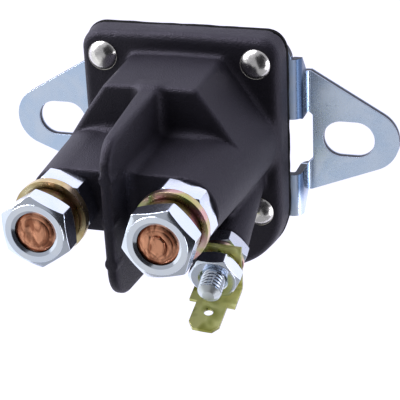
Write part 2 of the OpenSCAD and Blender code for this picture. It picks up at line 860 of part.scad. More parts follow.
module outer_nuts() {
    color([0.80, 0.83, 0.90])
        for (k = [0:1])
            translate([sides[k] * stud_x, axis_y, outer_nut_z])
                rotate(outer_nut_turn[k])
                    hex_nut(nut_af, outer_nut_t, stud_d / 2 + fit_clear, narrow_ring);
}

// Threaded coil stud with its swaged head inside the cover
module coil_stud() {
    r = coil_stud_d / 2;
    length = coil_nut_top + coil_stud_free - coil_head;
    color([0.80, 0.82, 0.88])
        at_coil_stud() {
            translate([0, 0, coil_head - coil_head_t])
                cylinder(r = coil_head_r, h = coil_head_t, $fn = true_fn);
            translate([0, 0, coil_head - fit_clear])
                cylinder(r = r, h = length - coil_chamfer + fit_clear, $fn = true_fn);
            translate([0, 0, coil_head + length - coil_chamfer])
                cylinder(r1 = r, r2 = r - coil_chamfer, h = coil_chamfer, $fn = true_fn);
        }
}

module coil_stud_base_nut() {
    color([0.62, 0.62, 0.70])
        at_coil_stud()
            translate([0, 0, coil_seat])
                rotate(coil_nut_turn[0])
                    hex_nut(small_nut_af, small_nut_t, coil_stud_d / 2 + fit_clear, wide_ring);
}

module coil_stud_washer() {
    color([0.62, 0.58, 0.24])
        at_coil_stud()
            translate([0, 0, coil_seat + small_nut_t])
                ring(small_washer_r, coil_stud_d / 2 + 2 * fit_clear, small_washer_t);
}

// Side view of the tab: upright plate, bend and blade
module tab_section() {
    outer = tab_bend_r + tab_t;
    bend_y = tab_bend_r - tab_drop;
    translate([bend_y, 0]) square([tab_up - bend_y, tab_t]);
    translate([-tab_drop - tab_t, outer])
        square([tab_t, tab_t + shoulder_z + blade_len - outer]);
    translate([bend_y, outer])
        difference() {
            intersection() {
                circle(r = outer, $fn = true_fn);
                translate([-outer, -outer]) square(outer);
            }
            circle(r = tab_bend_r, $fn = true_fn);
        }
}

// Front view outline of the tab along its length: shoulders, blade and chamfers
module tab_outline() {
    w = tab_plate_w / 2;
    b = blade_w / 2;
    low = tab_t + shoulder_z;
    tip = low + blade_len;
    cut = 0.75 * blade_chamfer;
    polygon([
        [-w, -over], [w, -over], [w, low], [b, low], [b, tip - blade_chamfer],
        [b - cut, tip], [cut - b, tip], [-b, tip - blade_chamfer], [-b, low], [-w, low]
    ]);
}

// Push-on tab terminal on the coil stud, bent square to run beside it
module tab_terminal() {
    hole_z = tab_t + shoulder_z + blade_hole_in;
    color([0.60, 0.58, 0.22])
        at_coil_stud()
            translate([0, 0, tab_z])
                rotate(-tab_turn)
                    difference() {
                        intersection() {
                            rotate([90, 0, 90])
                                linear_extrude(2 * tab_plate_w, center = true)
                                    tab_section();
                            rotate([90, 0, 0])
                                linear_extrude(4 * tab_plate_w, center = true)
                                    rotate(tab_swing)
                                        tab_outline();
                        }
                        translate([0, 0, -over])
                            cylinder(
                                r = coil_stud_d / 2 + 2 * fit_clear,
                                h = tab_t + 2 * over, $fn = true_fn
                            );
                        translate([-hole_z * sin(tab_swing), over - tab_drop, hole_z * cos(tab_swing)])
                            rotate([90, 0, 0])
                                cylinder(r = blade_hole_d / 2, h = tab_t + 2 * over, $fn = true_fn);
                    }
}

// Star washer: a flat ring with notches cut into its edge
module coil_stud_star_washer() {
    teeth = 10;
    notch_r = 0.45;
    color([0.60, 0.58, 0.30])
        at_coil_stud()
            translate([0, 0, tab_z + tab_t])
                difference() {
                    ring(star_washer_r, coil_stud_d / 2 + 2 * fit_clear, star_washer_t);
                    for (k = [0:teeth - 1])
                        rotate(k * 360 / teeth)
                            translate([star_washer_r, 0, -over])
                                cylinder(r = notch_r, h = star_washer_t + 2 * over, $fn = soft_fn);
                }
}

module coil_stud_nut() {
    color([0.80, 0.83, 0.90])
        at_coil_stud()
            translate([0, 0, coil_nut_top - small_nut_t])
                rotate(coil_nut_turn[1])
                    hex_nut(small_nut_af, small_nut_t, coil_stud_d / 2 + fit_clear, wide_ring);
}

// Deep drawn steel can that carries the flux round the coil
module yoke_can() {
    color([0.55, 0.57, 0.60])
        translate([0, axis_y, gasket_z])
            difference() {
                cylinder(r = can_r, h = can_h, $fn = true_fn);
                translate([0, 0, can_t])
                    cylinder(r = can_r - can_t, h = can_h, $fn = true_fn);
            }
}

// Notch for the coil lead at the edge of a plate
module lead_notch(z, t) {
    translate([lead_up[0], lead_up[1], z - over])
        cylinder(r = lead_r + seat_clear, h = t + 2 * over, $fn = true_fn);
}

// Steel pole plate with the fixed core under it
module pole_plate() {
    color([0.60, 0.62, 0.66])
        difference() {
            translate([0, axis_y, 0]) {
                translate([0, 0, pole_z]) cylinder(r = can_r, h = pole_t, $fn = true_fn);
                translate([0, 0, core_z])
                    cylinder(r = plunger_r, h = core_len + pole_t / 2, $fn = true_fn);
            }
            translate([0, axis_y, core_z - over])
                cylinder(r = rod_r + seat_clear, h = core_len + pole_t + 2 * over, $fn = true_fn);
            lead_notch(pole_z, pole_t);
        }
}

// Bobbin: tube and two flanges
module bobbin() {
    height = bobbin_top - bobbin_z;
    color([0.86, 0.84, 0.76])
        difference() {
            translate([0, axis_y, bobbin_z]) {
                cylinder(r = bobbin_tube_r, h = height, $fn = true_fn);
                cylinder(r = bobbin_flange_r, h = bobbin_flange_t, $fn = true_fn);
                translate([0, 0, height - bobbin_flange_t])
                    cylinder(r = bobbin_flange_r, h = bobbin_flange_t, $fn = true_fn);
            }
            translate([0, axis_y, bobbin_z - over])
                cylinder(r = bobbin_bore_r, h = height + 2 * over, $fn = true_fn);
            lead_notch(bobbin_top - bobbin_flange_t, bobbin_flange_t);
        }
}

// Winding of enamelled wire under its tape, slightly fuller at the middle
module coil_winding() {
    low = bobbin_z + bobbin_flange_t + fit_clear;
    high = bobbin_top - bobbin_flange_t - fit_clear;
    swell = 0.3;
    inner = bobbin_tube_r + fit_clear;
    color([0.66, 0.34, 0.18])
        translate([0, axis_y, 0])
            rotate_extrude($fn = true_fn)
                polygon([
                    [inner, low], [winding_r - swell, low], [winding_r, (2 * low + high) / 3],
                    [winding_r, (low + 2 * high) / 3], [winding_r - swell, high], [inner, high]
                ]);
}

// Round wire between two points
module between(a, b, r) {
    d = b - a;
    translate(a)
        rotate([0, acos(d[2] / norm(d)), atan2(d[1], d[0])])
            cylinder(r = r, h = norm(d), $fn = true_fn);
}

// Wire through a list of points, a little fuller where it turns
module wire(points, r) {
    joint_share = 1.06;
    for (i = [1:len(points) - 1]) between(points[i - 1], points[i], r);
    for (i = [1:len(points) - 2])
        translate(points[i]) sphere(r = joint_share * r, $fn = true_fn);
}

// Lead from the winding up to the head of the coil stud
module coil_lead() {
    color([0.70, 0.30, 0.18]) wire([lead_low, lead_up, lead_turn, lead_end], lead_r);
}

// Lead from the winding to the wall of the can
module earth_lead() {
    color([0.70, 0.30, 0.18]) wire([earth_start, earth_bend, earth_end], lead_r);
}

// Plunger with the spring's bore at its upper end
module plunger() {
    color([0.70, 0.71, 0.74])
        translate([0, axis_y, plunger_z])
            difference() {
                cylinder(r = plunger_r, h = plunger_len, $fn = true_fn);
                translate([0, 0, -over])
                    cylinder(r = rod_r + fit_clear / 2, h = plunger_len + 2 * over, $fn = true_fn);
                translate([0, 0, plunger_len - spring_bore_depth])
                    cylinder(r = spring_bore_r, h = spring_bore_depth + over, $fn = true_fn);
            }
}

// Rubber bumper that the plunger rests on
module plunger_bumper() {
    color([0.10, 0.10, 0.10])
        translate([0, axis_y, can_floor]) cylinder(r = plunger_r, h = bumper_t, $fn = true_fn);
}

// Middle line of a spring that winds round Z
function curl_line(r, wire_d, height, curls, rings) = [
    for (i = [0:curls * rings])
        let (a = 360 * i / rings, share = i / (curls * rings))
        [r * cos(a), r * sin(a), wire_d / 2 + (height - wire_d) * share]
];

// Least gap between turns, measured on points most of a turn apart
function least_gap(line, wire_d, rings) = min([
    for (i = [0:len(line) - rings], j = [i + rings - 2:len(line) - 1])
        norm(line[i] - line[j])
]) - wire_d;

// Spring drawn as one unbroken tube
module spring(r, wire_d, height, curls, label) {
    rings = 8;
    n = 6;
    line = curl_line(r, wire_d, height, curls, rings);
    half = wire_d / 2 * cos(180 / n);
    rise = (height - wire_d) / curls;
    lean = atan(rise / (2 * PI * r));
    points = [
        for (i = [0:len(line) - 1])
            let (a = 360 * i / rings)
            for (j = [0:n - 1])
                let (t = 30 + 360 * j / n, out = half * cos(t), up = half * sin(t))
                line[i] + [
                    out * cos(a) + up * sin(lean) * sin(a),
                    out * sin(a) - up * sin(lean) * cos(a),
                    up * cos(lean)
                ]
    ];
    echo(label, least_gap(line, wire_d, rings));
    polyhedron(points, tube_faces(len(line), n));
}

// Return spring between the plunger and the core
module return_spring() {
    pitch = 1.3;
    height = core_z - spring_floor - 2 * fit_clear;
    curls = floor((height - return_wire) / pitch);
    color([0.80, 0.80, 0.82])
        translate([0, axis_y, spring_floor + fit_clear])
            spring(return_spring_r, return_wire, height, curls, "return spring gap");
}

// Push rod with the collar that carries the contact spring
module push_rod() {
    color([0.82, 0.76, 0.50])
        translate([0, axis_y, 0]) {
            translate([0, 0, plunger_z]) cylinder(r = rod_r, h = rod_top - plunger_z, $fn = true_fn);
            translate([0, 0, spring_seat_z - collar_t])
                cylinder(r = contact_spring_r + contact_wire, h = collar_t, $fn = true_fn);
        }
}

// Contact spring that presses the disc against the studs
module contact_spring() {
    curls = 2;
    height = contact_spring_len - 2 * fit_clear;
    color([0.80, 0.80, 0.82])
        translate([0, axis_y, spring_seat_z + fit_clear])
            spring(contact_spring_r, contact_wire, height, curls, "contact spring gap");
}

// Insulating washer under the contact disc
module lower_insulator() {
    color([0.75, 0.20, 0.16])
        translate([0, axis_y, disc_z - insulator_t])
            ring(insulator_r, rod_r + slide_clear, insulator_t);
}

// Copper disc that bridges the two stud heads
module contact_disc() {
    color([0.78, 0.46, 0.30])
        translate([0, axis_y, disc_z]) ring(disc_r, bush_r + fit_clear, disc_t);
}

// Insulating washer over the disc, with a bush through it
module upper_insulator() {
    color([0.75, 0.20, 0.16])
        translate([0, axis_y, 0])
            difference() {
                union() {
                    translate([0, 0, disc_top])
                        cylinder(r = insulator_r, h = insulator_t, $fn = true_fn);
                    translate([0, 0, disc_z])
                        cylinder(r = bush_r, h = disc_t + insulator_t / 2, $fn = true_fn);
                }
                translate([0, 0, disc_z - over])
                    cylinder(r = rod_r + slide_clear, h = disc_t + insulator_t + 2 * over, $fn = true_fn);
            }
}

// Clip that holds the disc on the rod
module retaining_clip() {
    clip_r = 2.9;
    gap_w = 1.6;
    color([0.35, 0.36, 0.40])
        translate([0, axis_y, clip_z])
            difference() {
                ring(clip_r, rod_r + fit_clear / 2, clip_t);
                translate([0, -gap_w / 2, -over]) cube([clip_r + over, gap_w, clip_t + 2 * over]);
            }
}

cover();
gasket();
bracket();
rivets();
main_studs();
base_nuts();
flat_washers();
lock_washers();
outer_nuts();
coil_stud();
coil_stud_base_nut();
coil_stud_washer();
tab_terminal();
coil_stud_star_washer();
coil_stud_nut();
yoke_can();
pole_plate();
bobbin();
coil_winding();
coil_lead();
earth_lead();
plunger();
plunger_bumper();
return_spring();
push_rod();
contact_spring();
lower_insulator();
contact_disc();
upper_insulator();
retaining_clip();
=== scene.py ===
"""Starter solenoid relay: moulded cover, threads, nuts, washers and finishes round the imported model.

Lengths inside the shape functions are millimetres in the part's own frame:
X along the bracket, Y across it, Z out of the mounting face.
"""

import math
from functools import partial

import bmesh
import bpy
import numpy as np
from bpy.props import FloatProperty, FloatVectorProperty, PointerProperty
from mathutils import Matrix, Vector


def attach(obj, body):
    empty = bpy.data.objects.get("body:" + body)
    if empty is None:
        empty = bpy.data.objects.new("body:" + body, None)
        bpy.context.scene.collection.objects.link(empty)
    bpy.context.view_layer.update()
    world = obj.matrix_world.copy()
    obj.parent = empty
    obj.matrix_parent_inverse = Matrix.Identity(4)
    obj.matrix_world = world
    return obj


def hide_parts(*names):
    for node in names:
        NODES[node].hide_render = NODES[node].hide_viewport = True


bl_info = {
    "name": "Starter Solenoid Relay",
    "version": (1, 0, 0),
    "blender": (4, 5, 0),
    "location": "3D View > Sidebar > Relay",
    "description": "Builds the visible surfaces of a starter solenoid relay round its packed model",
    "category": "Object",
}

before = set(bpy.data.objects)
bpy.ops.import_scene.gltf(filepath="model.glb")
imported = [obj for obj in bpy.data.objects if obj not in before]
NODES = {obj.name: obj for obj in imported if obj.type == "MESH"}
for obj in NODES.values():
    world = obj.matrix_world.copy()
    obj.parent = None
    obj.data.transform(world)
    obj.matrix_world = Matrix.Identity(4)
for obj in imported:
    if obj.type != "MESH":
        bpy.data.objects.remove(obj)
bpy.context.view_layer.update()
MM = 0.001

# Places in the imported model, in millimetres, with Z over the mounting face
AXIS_Y = 3.4
GASKET_Z = 8.8
FLANGE_Z = 10.1
FACE_Z = 15.3
BASE_NUT_Z = 51.3
FLAT_WASHER_Z = 56.9
LOCK_WASHER_Z = 58.7
OUTER_NUT_Z = 61.6
STUD_END_Z = 66.15
# Heights of the cover's forms over the flange's face
BODY_TOP = 18.0
TOWER_TOP = 36.0
FIN_TOP = 44.4
# Battery studs and the towers round them, which thin by 1 in DRAFT
STUD_X = 11.95
TOWER_R = 9.0
DRAFT = 18.0
GASKET_THICK = 1.3
RIVETS = [(sx * 16.65, 4.1 + sy * 16.5) for sx in (-1, 1) for sy in (-1, 1)]
# Corner circles of the flange's outline: x, y and radius
FLANGE_HALF, FLANGE_UP, FLANGE_LOW = 22.0, 26.4, -27.6
UPPER_R, LOWER_R = 4.6, 15.2
FLANGE_CORNERS = [
    (side * (FLANGE_HALF - r), y, r)
    for y, r in ((FLANGE_UP - UPPER_R, UPPER_R), (FLANGE_LOW + LOWER_R, LOWER_R)) for side in (-1, 1)
]
# Steps of the cover's cavity and of its bores: radius and the level where each ends
CAN_BORE_R = 15.6
CAVITY = ((CAN_BORE_R, 23.3), (14.1, 31.1), (4.5, 34.05))
STUD_BORE = ((6.3, 34.85), (4.07, math.inf))
RIVET_BORE = (2.1, FACE_Z + 0.3)
COIL_BORE_R, COIL_BORE_LOW = 2.52, 20.0
# Coil stud: lean and swing in degrees, the point where it leaves the face, and its seat along it
COIL_LEAN, COIL_SWING = 18.8, 6.7
COIL_FOOT = np.array([13.9, -4.6, FACE_Z])
COIL_SEAT = 21.014


# Mesh tools

def turn(axis, degrees):
    """Rotation matrix by an angle about one of the axes 0, 1 or 2."""
    return np.array(Matrix.Rotation(math.radians(degrees), 3, "XYZ"[axis]))


COIL_TURN = turn(2, COIL_SWING) @ turn(0, COIL_LEAN) @ turn(2, -COIL_SWING)


def on_coil_stud(points):
    """Points of the coil stud's own frame, whose Z is the leaning stud, put into the part's frame."""
    return points @ COIL_TURN.T + COIL_FOOT


def skin(rows, kind=0, closed=False):
    """Part of a piece: a grid's points, its quads and its material number.

    The grid closes round its columns, and round its rows too where closed is set.
    """
    count, columns = rows.shape[:2]
    i = np.arange(count if closed else count - 1)
    i, j = np.meshgrid(i, np.arange(columns), indexing="ij")
    i2, j2 = (i + 1) % count, (j + 1) % columns
    quads = np.stack([i * columns + j, i2 * columns + j, i2 * columns + j2, i * columns + j2], -1)
    return rows.reshape(-1, 3), quads.reshape(-1, 4), kind


def dress(mesh, materials):
    """Gives a mesh these materials in place of its own."""
    mesh.materials.clear()
    for material in materials:
        mesh.materials.append(material)


def place(name, mesh, node):
    """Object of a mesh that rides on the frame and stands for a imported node."""
    piece = bpy.data.objects.new(name, mesh)
    bpy.context.scene.collection.objects.link(piece)
    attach(piece, "frame")
    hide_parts(node)
    return piece


def even_normals(piece):
    """Lets large flats rule the normals at their borders, so that they shade flat."""
    even = piece.modifiers.new("even_normals", "WEIGHTED_NORMAL")
    even.keep_sharp = True
    even.weight = 50


def add_piece(name, node, materials, parts, sharp, even=True, weld=2e-6, turn_out=True):
    """One object from parts made by skin, in millimetres.

    Edges sharper than the angle sharp, in degrees, part the shading of their faces.
    """
    points, quads, kinds = zip(*parts)
    starts = np.cumsum([0, *map(len, points)])
    kinds = np.repeat(kinds, [len(part) for part in quads])
    quads = np.concatenate([part + start for part, start in zip(quads, starts)])
    mesh = bpy.data.meshes.new(name)
    mesh.from_pydata((np.concatenate(points) * MM).tolist(), [], quads.tolist())
    dress(mesh, materials)
    mesh.polygons.foreach_set("material_index", kinds.astype(np.int32))
    mesh.validate()
    work = bmesh.new()
    work.from_mesh(mesh)
    bmesh.ops.remove_doubles(work, verts=work.verts, dist=weld)
    bmesh.ops.dissolve_degenerate(work, dist=1e-7, edges=work.edges)
    if turn_out:
        bmesh.ops.recalc_face_normals(work, faces=work.faces)
    work.to_mesh(mesh)
    work.free()
    mesh.shade_smooth()
    piece = place(name, mesh, node)
    mesh.set_sharp_from_angle(angle=math.radians(sharp))
    if even:
        even_normals(piece)


# Turned shapes

def by_angle(profile, angles):
    """Rows of (radius, height) at each angle, from pairs whose values are numbers or go by angle."""
    return np.array([[value * np.ones_like(angles) for value in pair] for pair in profile])


def turned(profile, angles):
    """Surface of revolution: one row of points for each (radius, height) of the profile."""
    radius, height = by_angle(profile, angles).transpose(1, 0, 2)
    return np.stack([radius * np.cos(angles), radius * np.sin(angles), height], -1)


def soft_profile(corners, angles):
    """Profile through corners (radius, height, cut) whose corners are cut by short parabolic arcs.

    An arc runs from a to b, which lie the cut's length before and after the corner:
    (1-t)^2 a + 2t(1-t) corner + t^2 b.
    """
    points = by_angle([corner[:2] for corner in corners], angles)
    rows = [points[0]]
    for before, corner, after, (_, _, cut) in zip(points, points[1:], points[2:], corners[1:]):
        ends = []
        for way in (before - corner, after - corner):
            reach = np.maximum(np.linalg.norm(way, axis=0), 1e-9)
            ends.append(corner + way / reach * np.minimum(cut, 0.45 * reach))
        for t in np.linspace(0, 1, 4) if cut else [0]:
            rows.append((1 - t) ** 2 * ends[0] + 2 * t * (1 - t) * corner + t * t * ends[1])
    return [*rows, points[-1]]


def ring_angles(count):
    """Even angles once round."""
    return 2 * np.pi * np.arange(count) / count


def hex_angles(per_side):
    """Angles round a hexagon, drawn together at its six corners."""
    t = np.linspace(-1, 1, per_side, endpoint=False)
    side = np.sign(t) * (1 - (1 - np.abs(t)) ** 1.7) * np.pi / 6
    return (np.arange(6)[:, None] * np.pi / 3 + side).ravel() + np.pi / 6


def hex_radius(angles, flats, corner_r):
    """Radius of a hexagon with rounded corners, whose flats' distance is given.

    The flat at distance d is d / cos(angle from the flat's middle), cut by the corner's arc.
    """
    off = (angles % (np.pi / 3)) - np.pi / 6
    flat = flats / 2 / np.cos(off)
    reach = (flats / 2 - corner_r) / math.cos(math.pi / 6)
    from_corner = np.pi / 6 - np.abs(off)
    along, aside = reach * np.cos(from_corner), reach * np.sin(from_corner)
    arc = along + np.sqrt(np.maximum(corner_r**2 - aside**2, 0))
    return np.where(aside < corner_r * 0.5, np.minimum(flat, arc), flat)


def thread_wave(heights, pitch, angles):
    """Triangle wave that climbs a pitch a turn: 1 - |2 ((height / pitch - angle / 2 pi) mod 1) - 1|."""
    return 1 - np.abs(2 * ((heights / pitch - angles / (2 * np.pi)) % 1) - 1)


def nut_rows(flats, thick, bore, pitch, ring_share=0.95):
    """Hexagon nut: flats, a cone at the front, a short chamfer at the back and a threaded bore.

    At radius r the cone lies (r - ring) * tan(28 degrees) below the face, and the bore's radius
    is bore + depth * wave.
    """
    angles = hex_angles(14)
    outer = hex_radius(angles, flats, 0.35)
    ring, ring_low = ring_share * flats / 2, 0.98 * flats / 2
    front, back = math.tan(math.radians(28)), math.tan(math.radians(30))
    mouth = 0.6
    sink = 0.7 * mouth
    shell = soft_profile([
        (bore + mouth, 0, 0), (ring_low - 0.25, 0, 0), (ring_low, 0, 0.12),
        (outer, np.maximum(outer - ring_low, 0) * back, 0.1),
        (outer, thick - (outer - ring) * front, 0.12),
        (ring + 0.05, thick - 0.07, 0), (ring, thick, 0.03), (ring - 0.25, thick, 0),
        (bore + mouth, thick, 0.08), (bore, thick - sink, 0),
    ], angles)
    heights = np.linspace(thick - sink, sink, int((thick - 2 * sink) / pitch * 8))[:, None]
    fade = np.minimum(1, np.minimum(heights - sink, thick - sink - heights) / (0.6 * pitch))
    depth = 0.3 * pitch * fade * thread_wave(heights, pitch, angles)
    return turned([*shell, *zip(bore + depth[1:], heights[1:])], angles)


def thread_rows(radius, low, high, pitch, depth, angles, per_turn=8):
    """Profile of a threaded shank: radius - depth * wave, flat at crest and root.

    The thread fades out over its lowest pitch.
    """
    heights = np.linspace(low, high, int((high - low) / pitch * per_turn))[:, None]
    wave = np.clip(1.25 * thread_wave(heights, pitch, angles) - 0.12, 0, 1)
    fade = np.clip((heights - low) / pitch, 0, 1)
    return list(zip(radius - depth * wave * fade, heights))


def stud_end_rows(radius, top, chamfer, core, pattern, angles, rings):
    """Profile of a stud's chamfer and end face, whose relief is pattern(r, angle)."""
    rim = top + pattern(core, angles)
    slope = np.linspace(0, 1, 5)
    rows = [(radius + (core - radius) * t, (top - chamfer) * (1 - t) + rim * t) for t in slope]
    inwards = np.linspace(1, 0, rings)[1:]
    return rows + [(core * s, top + pattern(core * s, angles)) for s in inwards]


# Shader tools

class Value:
    """A node's output that can be written into shader maths."""

    def __init__(self, finish, socket):
        self.finish = finish
        self.socket = socket

    def maths(self, operation, *others):
        inputs = dict(enumerate((self, *others)))
        return self.finish.node("ShaderNodeMath", {"operation": operation}, inputs)

    def __add__(self, other):
        return self.maths("ADD", other)

    __radd__ = __add__

    def __mul__(self, other):
        return self.maths("MULTIPLY", other)

    __rmul__ = __mul__

    def __rsub__(self, other):
        return self * -1.0 + other

    def between(self, low, high):
        """This value carried from low..high to 0..1, smoothly and held at the ends."""
        settings = {"interpolation_type": "SMOOTHSTEP", "clamp": True}
        inputs = {"Value": self, "From Min": low, "From Max": high}
        return self.finish.node("ShaderNodeMapRange", settings, inputs)


class Finish:
    """One material: a Principled shader and the patterns that feed it."""

    def __init__(self, name, metallic=0.0, **constants):
        self.material = bpy.data.materials.new(name)
        self.material.use_nodes = True
        self.tree = self.material.node_tree
        self.main = next(n for n in self.tree.nodes if n.type == "BSDF_PRINCIPLED")
        for key, value in {"Metallic": metallic, **constants}.items():
            self.main.inputs[key.replace("_", " ")].default_value = value

    def put(self, value, socket):
        if isinstance(value, Value):
            self.tree.links.new(value.socket, socket)
        else:
            socket.default_value = value

    def node(self, kind, settings=None, inputs=None, output=0):
        """One node: its settings first, then the values or links of its sockets."""
        made = self.tree.nodes.new(kind)
        for key, value in (settings or {}).items():
            if key == "stops":
                self.fill(made.color_ramp.elements, value)
            else:
                setattr(made, key, value)
        for key, value in (inputs or {}).items():
            self.put(value, made.inputs[key])
        return Value(self, made.outputs[output])

    @staticmethod
    def fill(elements, stops):
        """Fills a ramp with pairs of level and colour."""
        while len(elements) < len(stops):
            elements.new(0.5)
        for element, (level, colour) in zip(elements, stops):
            element.position = level
            element.color = (*colour, 1)

    def where(self):
        """Object coordinates in metres."""
        return self.node("ShaderNodeTexCoord", output="Object")

    def noise(self, size_mm, detail=2.0, stretch=(1, 1, 1), rough=0.5, distortion=0.0):
        """Noise whose grains measure about size_mm, drawn out along an axis by stretch."""
        inputs = {
            "Vector": self.node("ShaderNodeMapping", None, {"Vector": self.where(), "Scale": stretch}),
            "Scale": 1000 / size_mm, "Detail": detail, "Roughness": rough, "Distortion": distortion,
        }
        return self.node("ShaderNodeTexNoise", None, inputs, "Fac")

    def mix(self, factor, a, b):
        """Colour a where the factor is 0 and b where it is 1."""
        a, b = (value if isinstance(value, Value) else (*value, 1) for value in (a, b))
        return self.node("ShaderNodeMix", {"data_type": "RGBA"}, {0: factor, 6: a, 7: b}, 2)

    def axis(self, number):
        """One Object coordinate in millimetres."""
        return self.node("ShaderNodeSeparateXYZ", None, {0: self.where()}, number) * 1000.0

    def colour(self, value):
        self.put(value, self.main.inputs["Base Color"])

    def rough(self, value):
        self.put(value, self.main.inputs["Roughness"])

    def bump(self, height, distance_mm, strength=1.0):
        """Bump whose full height is distance_mm; later calls lie over earlier ones."""
        inputs = {"Height": height, "Distance": distance_mm * MM, "Strength": strength}
        normal = self.main.inputs["Normal"]
        if normal.is_linked:
            inputs["Normal"] = Value(self, normal.links[0].from_socket)
        self.put(self.node("ShaderNodeBump", None, inputs, "Normal"), normal)


# Finishes

def scaled(colour, factor):
    """Colour times one factor, or times one for each channel."""
    return tuple(np.array(colour) * factor)


def moulding_finish():
    """Black glass-filled moulding: grained, satin, a little greyer where it is rubbed."""
    tone, violet = bpy.context.scene.relay_finish.moulding, (0.86, 0.80, 1.0, 1)
    made = Finish("moulding_satin", Specular_IOR_Level=0.47, Specular_Tint=violet)
    cloud = made.noise(9.0, 3.0)
    fibre = made.noise(0.9, stretch=(1, 1, 0.25))
    grain = made.noise(0.45, 1.0)
    shade = made.mix(cloud.between(0.3, 0.72), scaled(tone, 0.8), scaled(tone, 1.25))
    shade = made.mix(fibre.between(0.62, 0.8) * 0.35, shade, scaled(tone, 1.8))
    made.colour(made.mix(grain.between(0.64, 0.74) * 0.7, shade, scaled(tone, 3.5)))
    made.rough(0.38 + 0.22 * made.noise(0.35, 3.0, rough=0.6) + 0.08 * cloud)
    made.bump(made.noise(0.32, rough=0.6), 0.16)
    made.bump(made.noise(6.0), 0.25, 0.5)
    return made.material


# Stretches over which the bracket's painted shade and its dullness change, in mm
BESIDE_FLANGE = (21.6, 22.2)
STEP_WALL = (2.5, 3.2)
UPPER_PLATE = (8.2, 8.6)
WALL_SHADE_DOWN_TO = (-14.0, -9.0)


def zinc_finish(name, tone, roughness=0.24, mottle=0.5, stepped_sheet=False):
    """Electroplated zinc: bright and bluish, with stain clouds, fine scratches and a soft orange peel.

    On the stepped sheet, beside the flange, the walls of the steps are painted dark blue as shade
    and dark reflection, and the sheet is duller over them.
    """
    made = Finish(name, 1.0)
    cloud = made.noise(7.0, 4.0, distortion=0.6)
    blue, warm, painted_wall_shade = (0.80, 0.90, 1.05), (1.02, 0.99, 0.93), (0.10, 0.14, 0.20)
    shade = made.mix(cloud.between(0.3, 0.7) * mottle, tone, scaled(tone, blue))
    shade = made.mix(made.noise(3.0).between(0.62, 0.85) * 0.4, shade, scaled(tone, warm))
    dull = 0.0
    if stepped_sheet:
        beside = made.axis(0).maths("ABSOLUTE").between(*BESIDE_FLANGE)
        above = made.axis(2).between(*UPPER_PLATE)
        # painted shade: the step walls beside the flange, from the ears up to the upper plate, are painted
        # dark blue
        wall = made.axis(2).between(*STEP_WALL) * (1.0 - above) * made.axis(1).between(*WALL_SHADE_DOWN_TO)
        shade = made.mix(wall * beside, shade, scaled(tone, painted_wall_shade))
        dull = beside * above * 0.3
    made.colour(shade)
    made.rough(roughness - 0.12 + 0.10 * made.noise(0.6, 3.0) + 0.14 * cloud + dull)
    made.bump(made.noise(2.4), 0.012, 0.6)
    made.bump(made.noise(0.25, stretch=(1, 0.06, 1)), 0.002)
    return made.material


def cut_edge_finish(tone):
    """Sheared edge of the sheet: torn and dark in a band round the ears, burnished above and below it."""
    made = Finish("cut_edge_zinc", 1.0)
    level = made.axis(2)
    torn = level.between(0.3, 0.55) * (1.0 - level.between(1.45, 1.65)) + level.between(1.9, 2.3)
    torn = -0.15 + torn + 0.3 * made.noise(0.5)
    made.colour(made.mix(torn, scaled(tone, 0.7), scaled(tone, 0.035)))
    made.rough(0.36 + 0.14 * made.noise(0.4))
    made.bump(made.noise(0.3, stretch=(1, 1, 0.2)), 0.02)
    return made.material


# Tints of passivated zinc: noise level and factors on the yellow
GOLD_TO_PINK = (
    (0.32, (1.45, 0.95, 2.4)), (0.41, (1.30, 1.12, 1.9)), (0.50, (1.0, 1.0, 1.0)),
    (0.58, (0.70, 1.0, 0.9)), (0.68, (1.3, 0.9, 2.2)),
)
TAN = (
    (0.36, (1.5, 1.3, 2.6)), (0.46, (1.35, 1.15, 1.8)), (0.55, (1.15, 0.95, 1.2)), (0.66, (1.4, 1.3, 2.0)),
)
OLIVE = (
    (0.34, (0.8, 0.9, 0.6)), (0.46, (1.65, 1.8, 2.3)), (0.56, (1.65, 1.82, 2.5)), (0.68, (0.85, 0.98, 0.7)),
)


def yellow_finish(name, depth=1.0, tints=GOLD_TO_PINK, metallic=1.0, roughness=0.24):
    """Yellow passivated zinc: its gold drifts through the given tints, and depth scales them all."""
    gold = np.array(bpy.context.scene.relay_finish.yellow)
    made = Finish(name, metallic)
    drift = made.noise(5.0, 1.0, distortion=0.5)
    stops = [(level, scaled(gold * tint, depth)) for level, tint in tints]
    made.colour(made.node("ShaderNodeValToRGB", {"stops": stops}, {"Fac": drift}, "Color"))
    made.rough(roughness + 0.08 * made.noise(1.6))
    made.bump(made.noise(2.6, 1.0), 0.012, 0.7)
    made.bump(made.noise(0.4, 1.0, stretch=(1, 0.08, 1)), 0.001)
    return made.material


def copper_finish():
    """Bare turned copper, brown where it has tarnished."""
    tone = bpy.context.scene.relay_finish.copper
    made = Finish("turned_copper", 1.0)
    tarnish = made.noise(1.5, 5.0, stretch=(1, 0.5, 1), distortion=0.6).between(0.40, 0.62) * 0.85
    made.colour(made.mix(tarnish, scaled(tone, 1.25), scaled(tone, (0.38, 0.26, 0.22))))
    made.rough(0.22 + 0.16 * made.noise(0.7, 3.0))
    made.bump(made.noise(0.3, 3.0), 0.035)
    return made.material


def nickel_finish():
    """Polished nickel rivets with faint pits."""
    made = Finish("rivet_nickel", 1.0)
    stain = made.noise(1.5, 3.0).between(0.4, 0.75) * 0.5
    made.colour(made.mix(stain, (0.82, 0.80, 0.76), (0.66, 0.64, 0.62)))
    made.rough(0.22 + 0.10 * made.noise(0.9, 3.0).between(0.45, 0.8))
    made.bump(made.noise(1.3), 0.04)
    return made.material


def gasket_finish():
    """Black pressed sheet with a dry, fibrous edge."""
    made = Finish("gasket_sheet", Specular_IOR_Level=0.12)
    made.colour(made.mix(made.noise(0.8, 3.0), (0.002,) * 3, (0.006,) * 3))
    made.rough(0.65 + 0.2 * made.noise(0.4))
    made.bump(made.noise(0.3, 3.0, stretch=(0.4, 0.4, 2.5)), 0.06)
    return made.material


